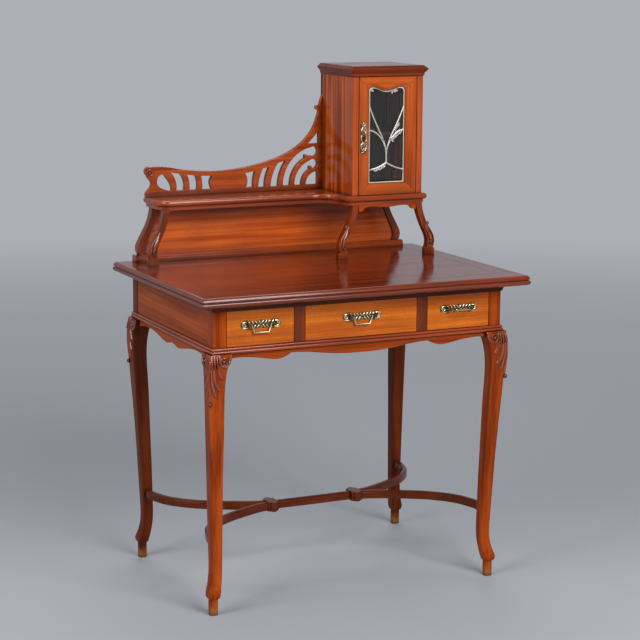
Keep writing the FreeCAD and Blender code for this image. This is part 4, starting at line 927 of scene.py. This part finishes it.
bracket_leaf = relief("bracket_leaf", BRACKET_LEAF, BRACKET_LEAF_LOW, BRACKET_LEAF_HIGH, step=0.5)
for name, head, hand, face in BRACKETS:
    front = again(bracket_leaf, "bracket_front_leaf")
    for vertex in front.data.vertices:
        aside, below = vertex.co.x * 1000, vertex.co.z * 1000
        vertex.co.x = on_bracket(head, hand, aside, below) / 1000
        vertex.co.z = (BRACKET_HEAD - below) / 1000
    curl = [
        (on_bracket(head, hand, aside, below), BRACKET_HEAD - below, half)
        for aside, below, half in BRACKET_CURL
    ]
    carving = together(f"bracket_carving_{name}", [front, ridges("bracket_curl", (curl,), STROKE_PROUD)])
    outward()
    set_at(carving, (0, face / 1000, 0))
    carved(carving, carving_wood)
bpy.data.objects.remove(bracket_leaf)

# Fret: one pierced board of red mahogany, sawn to a scroll, slats, a tablet and a fan beside the cabinet.
# Its edges are rounded with a file, the scroll has a carved eye, and its foot is let into the shelf.

SCROLL_EYE = (-329, 979)
FRET_FACE = 0.279
SCROLL_SKIN = 0.0006
# Its reach and depth paint shade on the walls inside its openings.
fret_wood = mahogany(
    "fret_mahogany", (202, 92, 32), (126, 48, 13), "X", ribbon=0.6, reach=0.03, shift=(0.2, 0.5, 0.1),
    shine=0.24, depth=1.7,
)
eased("fretwork", fret_wood, width=0.0009, pierced=True)
scroll_eye = boss(*SCROLL_EYE, radius=3.2, proud=1.0)
scroll_rim = ring(*SCROLL_EYE, radius=7.6, thick=1.9, proud=1.3)
fret_scroll = together("fret_scroll", [scroll_eye, scroll_rim])
set_at(fret_scroll, (0, FRET_FACE, 0))
carved(fret_scroll, carving_wood, skin=SCROLL_SKIN, passes=2)

# Cabinet: a small case of ribbon mahogany with front stiles, a moulded cornice and a scalloped apron below.
# Its back and single shelf are plain oak, of a darker tone than the runners.

CASE_PALE = (226, 106, 30)
CASE_DARK = (136, 52, 12)
case_wood = mahogany("cabinet_ribbon_mahogany", CASE_PALE, CASE_DARK, "Z", gloss=0.15, ribbon=1.6, shine=0.18)
stile_wood = mahogany("stile_mahogany", (208, 94, 36), (140, 55, 17), "Z")
cornice_wood = mahogany("cornice_mahogany", (146, 60, 25), (92, 34, 12), "X", gloss=0.15, shine=0.14)
inside_wood = mahogany(
    "cabinet_inside_oak", (92, 58, 34), (56, 32, 18), "Z", gloss=0.7, ribbon=0.3, fleck=0.4,
)
eased("cabinet_sides", case_wood)
eased("cabinet_stiles", stile_wood, pierced=True)
eased("cabinet_cornice", cornice_wood, width=0.0005)
eased("cabinet_valance", apron_wood, width=0.001)
eased("cabinet_back", inside_wood)
eased("cabinet_inner_shelf", inside_wood)

# Door: four mitred members of honey mahogany round six bevelled panes, leaded in whiplash lines.
# It turns on pins at its right edge and shuts with a small lock behind a cast brass plate.

DOOR_CENTRE = (0.2415, 1.0665)
DOOR_HALF = (0.0805, 0.1469)
GLASS_TINT = (0.93, 0.95, 0.94, 1)
RIPPLE_SWINGS = (28, 28, 18)
SMEAR_SWINGS = (60, 60, 40)
door_wood = mahogany(
    "door_honey_mahogany", (206, 97, 30), (146, 58, 13), mitre=("XZ", DOOR_CENTRE, DOOR_HALF), shine=0.3,
)
# The lead's sides are painted dark, as painted shade, so that it reads narrow.
lead = metal(
    "bright_lead", (206, 199, 184), (62, 57, 50), gloss=0.3, reach=0.002, metallic=0.35, shaded_flanks=True,
)
glass, tree, shader = new_finish("bevelled_glass")
place = own_place(tree)
smears = streaks(tree, place, SMEAR_SWINGS, detail=4)
ripples = streaks(tree, place, RIPPLE_SWINGS, detail=2)
feed(tree, shader, {
    "Base Color": GLASS_TINT, "Transmission Weight": 1.0, "IOR": 1.48, "Specular IOR Level": 0.22,
    "Roughness": between(tree, smears, 0.4, 0.8, 0.01, 0.06),
    "Normal": raised(tree, ripples, strength=0.15, distance=0.002),
})
DOOR_LOW, DOOR_HIGH = (Vector(corner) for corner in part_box("door_frame"))
LEADS_LOW, LEADS_HIGH = (Vector(corner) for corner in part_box("door_came"))
LEADS_MIDDLE = (LEADS_LOW + LEADS_HIGH) / 2
# The slope round the opening: how far it falls back from the face, and how far it spreads outside the leads.
RIM_FALL = 0.005
RIM_WIDTH = 0.009
# How far a cutter runs past the wood, and how near the leads' left side an edge of their outline lies.
PAST = 0.001
ON_SIDE = 0.00005
KEYHOLE = Vector((0.173, 0.113, 1.063))
KEYHOLE_RADIUS = 0.0022
KEYHOLE_DROP = 0.007
PIVOT_RECESS = 0.002


def block(low, high):
    """A plain block between two corners."""
    put_down()
    bpy.ops.mesh.primitive_cube_add(size=1)
    with at_the_bench():
        bpy.ops.transform.resize(value=high - low)
        bpy.ops.transform.translate(value=(low + high) / 2)
    return bpy.context.active_object


def opening_plug():
    """A plug that fills the opening inside the leads' outline and flares out to the face."""
    leads = again(frame["nodes"]["door_came"], "leads")
    cut_away(leads, lambda face: face.normal.y > -FACE_ON)
    with at_the_bench():
        bpy.ops.mesh.remove_doubles(threshold=TOUCHING)
    points = leads.data.vertices
    on_side = {point.index for point in points if abs(point.co.x - LEADS_LOW.x) < ON_SIDE}
    mark(leads, "edges", lambda edge: on_side.issuperset(edge.vertices))
    with at_the_bench(whole=False):
        bpy.ops.mesh.loop_multi_select()
        bpy.ops.mesh.duplicate()
        bpy.ops.mesh.separate(type="SELECTED")
    plug = [piece for piece in bpy.context.selected_objects if piece is not leads][0]
    bpy.data.objects.remove(leads)
    pick(plug)
    past_back = DOOR_HIGH.y + PAST
    rim_back = DOOR_LOW.y + RIM_FALL
    flare = RIM_WIDTH * (RIM_FALL + PAST) / RIM_FALL
    half = LEADS_MIDDLE - LEADS_LOW
    with at_the_bench():
        bpy.ops.mesh.edge_face_add()
        bpy.ops.transform.translate(value=(0, past_back - LEADS_LOW.y, 0))
        bpy.ops.mesh.extrude_region_move(TRANSFORM_OT_translate={"value": (0, rim_back - past_back, 0)})
        bpy.ops.mesh.extrude_region_move(TRANSFORM_OT_translate={"value": (0, -RIM_FALL - PAST, 0)})
        bpy.ops.transform.resize(
            value=(1 + flare / half.x, 1, 1 + flare / half.z), center_override=LEADS_MIDDLE,
        )
    outward()
    return plug


def keyhole_drill():
    """A round drill, laid along Y."""
    put_down()
    bpy.ops.mesh.primitive_cylinder_add(
        vertices=24, radius=KEYHOLE_RADIUS, depth=2 * (DOOR_HIGH.y - DOOR_LOW.y), location=KEYHOLE,
        rotation=(math.radians(90), 0, 0),
    )
    bpy.ops.object.transform_apply()
    return bpy.context.active_object


door_frame = block(DOOR_LOW, DOOR_HIGH)
door_frame.name = "door_frame_worked"
through = Vector((KEYHOLE_RADIUS / 2, DOOR_HIGH.y - DOOR_LOW.y, 0))
drop = Vector((0, 0, KEYHOLE_DROP))
past = Vector((0, 0, PAST))
pivot_low, pivot_high = (Vector(corner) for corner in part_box("pivot_plates_door"))
cuts = (
    opening_plug(),
    keyhole_drill(),
    block(KEYHOLE - through - drop, KEYHOLE + through),
    block(pivot_low - past, Vector((*pivot_high.xy, pivot_low.z + PIVOT_RECESS))),
    block(Vector((*pivot_low.xy, pivot_high.z - PIVOT_RECESS)), pivot_high + past),
)
for cut in cuts:
    applied(door_frame, "BOOLEAN", operation="DIFFERENCE", object=cut, solver="EXACT")
    bpy.data.objects.remove(cut)
finished(door_frame, "door_frame", door_wood, width=0.0004, angle=24)
eased("door_came", lead, width=0.0016)
# Each pane's bevel: its width, how far the flat stands up, and the most of the pane's width that it takes.
PANE_BEVEL = 0.006
PANE_RISE = 0.0016
PANE_SHARE = 0.3
PANE_ROUNDS = 30
SAME_CORNER = 0.00005
SHARP_TIP = math.radians(110)


def bevelled_panes(piece):
    """Each pane's front is ground to a broad bevel along the leads, narrower where the pane is narrow."""
    mark(piece, "polygons", lambda face: face.normal.y < -FACE_ON)
    with at_the_bench(whole=False):
        bpy.ops.mesh.dissolve_faces()
        bpy.ops.mesh.inset(thickness=0.0, depth=PANE_RISE, use_individual=True)
    points = piece.data.vertices
    for face in [face for face in piece.data.polygons if face.select]:
        rim = [points[corner].co.xz for corner in face.vertices]
        sides = [(rim[turn - 1], rim[turn]) for turn in range(len(rim))]
        ground = []
        for turn in range(len(rim)):
            before, after = rim[turn] - rim[turn - 1], rim[(turn + 1) % len(rim)] - rim[turn]
            along = before.normalized() + after.normalized()
            inward = Vector((-along.y, along.x)).normalized()
            start, end = rim[turn] + inward * TOUCHING, rim[turn] + inward
            meets = [intersect_line_line_2d(start, end, *side) for side in sides]
            room = PANE_SHARE * min([(meet - rim[turn]).length for meet in meets if meet] + [1])
            if before.angle(after) > SHARP_TIP:
                room = min(room, before.length, after.length)
            ground.append(rim[turn] + inward * min(PANE_BEVEL, room))
        for turn in list(range(len(rim))) * PANE_ROUNDS:
            if (rim[turn] - rim[turn - 1]).dot(ground[turn] - ground[turn - 1]) < 0:
                ground[turn] = ground[turn - 1] = (ground[turn] + ground[turn - 1]) / 2
        for corner, place in zip(face.vertices, ground):
            points[corner].co.xz = place
    with at_the_bench(whole=False):
        bpy.ops.mesh.remove_doubles(threshold=SAME_CORNER)


eased("door_glass", glass, width=0.0, angle=12, shape=bevelled_panes)
eased("door_escutcheon", dark_brass, width=0.0003, pierced=True)

# Cast relief of the keyhole plate, from its middle to the right, drawn as the pulls' is.
PLATE_STROKES = (
    ((1.5, 10, 0.9), (6, 14, 1.6), (7, 22, 1.5), (3, 27, 1.0)),
    ((0.8, 16, 0.8), (3, 22, 1.3), (2.5, 32, 1.0), (6.5, 37, 0.8)),
    ((1.0, 30, 0.9), (0.8, 35, 1.2), (0.6, 39, 0.8)),
    ((5.5, 8, 0.9), (7.5, 3, 1.3), (7, -6, 1.2), (4.5, -10, 0.9)),
    ((1.5, -10, 0.9), (6.5, -14, 1.5), (7.5, -22, 1.6), (5, -30, 1.5), (1.5, -30, 1.1), (1.5, -25, 0.9)),
    ((1.0, -13, 0.8), (3.2, -18, 1.3), (2.5, -24, 0.9)),
    ((1.0, -33, 0.9), (3.5, -36, 1.2), (6.5, -38, 0.8)),
)
PLATE_PROUD = 1.2
PLATE_SKIN = 0.00035
PLATE_FACE = 0.1018
plate_relief = ridges("keyhole_plate_relief", both_hands(PLATE_STROKES), PLATE_PROUD)
set_at(plate_relief, (KEYHOLE.x, PLATE_FACE, KEYHOLE.z))
carved(plate_relief, brass, "door", PLATE_SKIN, passes=1)
for node in ("door_lock", "door_lock_bolt", "pivot_plates_case", "pivot_plates_door", "pivot_pins"):
    eased(node, steel, width=0.0003)

# Studio: a broad floor painted a plain pale grey that fades into the backdrop, three soft square lamps on
# stands, and the camera set up where the photograph was taken from.

FLOOR_GREY = paint(172, 176, 182)
FLOOR_MOTTLE = paint(160, 163, 169)
MOTTLE_SWINGS = (3, 3, 3)
FLOOR_SIZE = 240
FADE_FROM, FADE_TO = 1.0, 6.0


def looking_rays(tree):
    """Rays from the camera, and rays sent on by polish or glass."""
    path = lay(tree, "LightPath").outputs
    return path["Is Camera Ray"], reckon(tree, "MAXIMUM", path["Is Glossy Ray"], path["Is Transmission Ray"])


put_down()
bpy.ops.mesh.primitive_plane_add(size=FLOOR_SIZE)
floor = bpy.context.active_object
floor.name = "studio_floor"
floor_paint, tree, shader = new_finish("pale_floor")
place = own_place(tree)
mottle = between(tree, streaks(tree, place, MOTTLE_SWINGS, detail=4), 0.2, 0.8, 0.0, 0.06)
feed(tree, shader, {"Base Color": blended(tree, mottle, FLOOR_GREY, FLOOR_MOTTLE), "Roughness": 0.7})
far = lay(tree, "Emission", {"Color": FLOOR_GREY, "Strength": 1.0})
seen = reckon(tree, "MAXIMUM", *looking_rays(tree))
distance = lay(tree, "VectorMath", {0: place}, operation="LENGTH").outputs["Value"]
fade = reckon(tree, "MULTIPLY", between(tree, distance, FADE_FROM, FADE_TO), seen)
both = lay(tree, "MixShader", {0: fade, 1: shader.outputs[0], 2: far.outputs[0]})
feed(tree, tree.nodes["Material Output"], {"Surface": both.outputs[0]})
floor.data.materials.append(floor_paint)

ROOM_LIGHT = (0.9, 0.95, 1.0, 1)
world = bpy.data.worlds.new("soft_room")
bpy.context.scene.world = world
world.use_nodes = True
tree = world.node_tree
sky = tree.nodes["Background"]
feed(tree, sky, {"Color": ROOM_LIGHT, "Strength": 0.17})
pale = lay(tree, "Background", {"Color": FLOOR_GREY, "Strength": 1.0})
backward = split(tree, lay(tree, "TexCoord").outputs["Generated"])["Y"]
direct, mirrored = looking_rays(tree)
mirrored = reckon(tree, "MULTIPLY", mirrored, between(tree, backward, -0.3, 0.3, 0.4, 1.0))
seen = reckon(tree, "MAXIMUM", direct, mirrored)
both = lay(tree, "MixShader", {0: seen, 1: sky.outputs[0], 2: pale.outputs[0]})
feed(tree, tree.nodes["World Output"], {"Surface": both.outputs[0]})

LAMP_AIM = Vector((0, 0, 0.7))
# Place of each lamp and its width in metres, and its power in watts.
LAMPS = (
    ("key_lamp", (0.5, -3.7, 2.75), 2.3, 165),
    ("left_lamp", (-3.4, -1.0, 2.6), 2.0, 75),
    ("back_lamp", (0.8, 2.2, 4.2), 2.0, 40),
)
for name, place, width, power in LAMPS:
    lamp = bpy.data.lights.new(name, "AREA")
    lamp.size = width
    lamp.energy = power
    stand = brought_in(name, lamp)
    stand.location = place
    stand.rotation_euler = (LAMP_AIM - Vector(place)).to_track_quat("-Z", "Y").to_euler()

VIEW_TURN = math.radians(-25.44)
VIEW_RISE = math.radians(10.49)
VIEW_ROLL = math.radians(0.34)
VIEW_DISTANCE = 4.70493
VIEW_ASIDE = 0.00592
VIEW_HEIGHT = 0.63236
VIEW_PIXELS = 640
FOCAL_PIXELS = 1921.95
SENSOR = 36
lens = bpy.data.cameras.new("studio_camera")
lens.sensor_width = SENSOR
lens.lens = FOCAL_PIXELS / VIEW_PIXELS * SENSOR
camera = brought_in("studio_camera", lens)
aimed = Matrix.Rotation(VIEW_TURN, 4, "Z") @ Matrix.Rotation(math.radians(90) - VIEW_RISE, 4, "X")
eye = aimed @ Vector((VIEW_ASIDE, 0, VIEW_DISTANCE)) + Vector((0, 0, VIEW_HEIGHT))
camera.matrix_world = Matrix.Translation(eye) @ aimed @ Matrix.Rotation(VIEW_ROLL, 4, "Z")
bpy.context.scene.camera = camera
bpy.context.scene.view_settings.view_transform = "Standard"
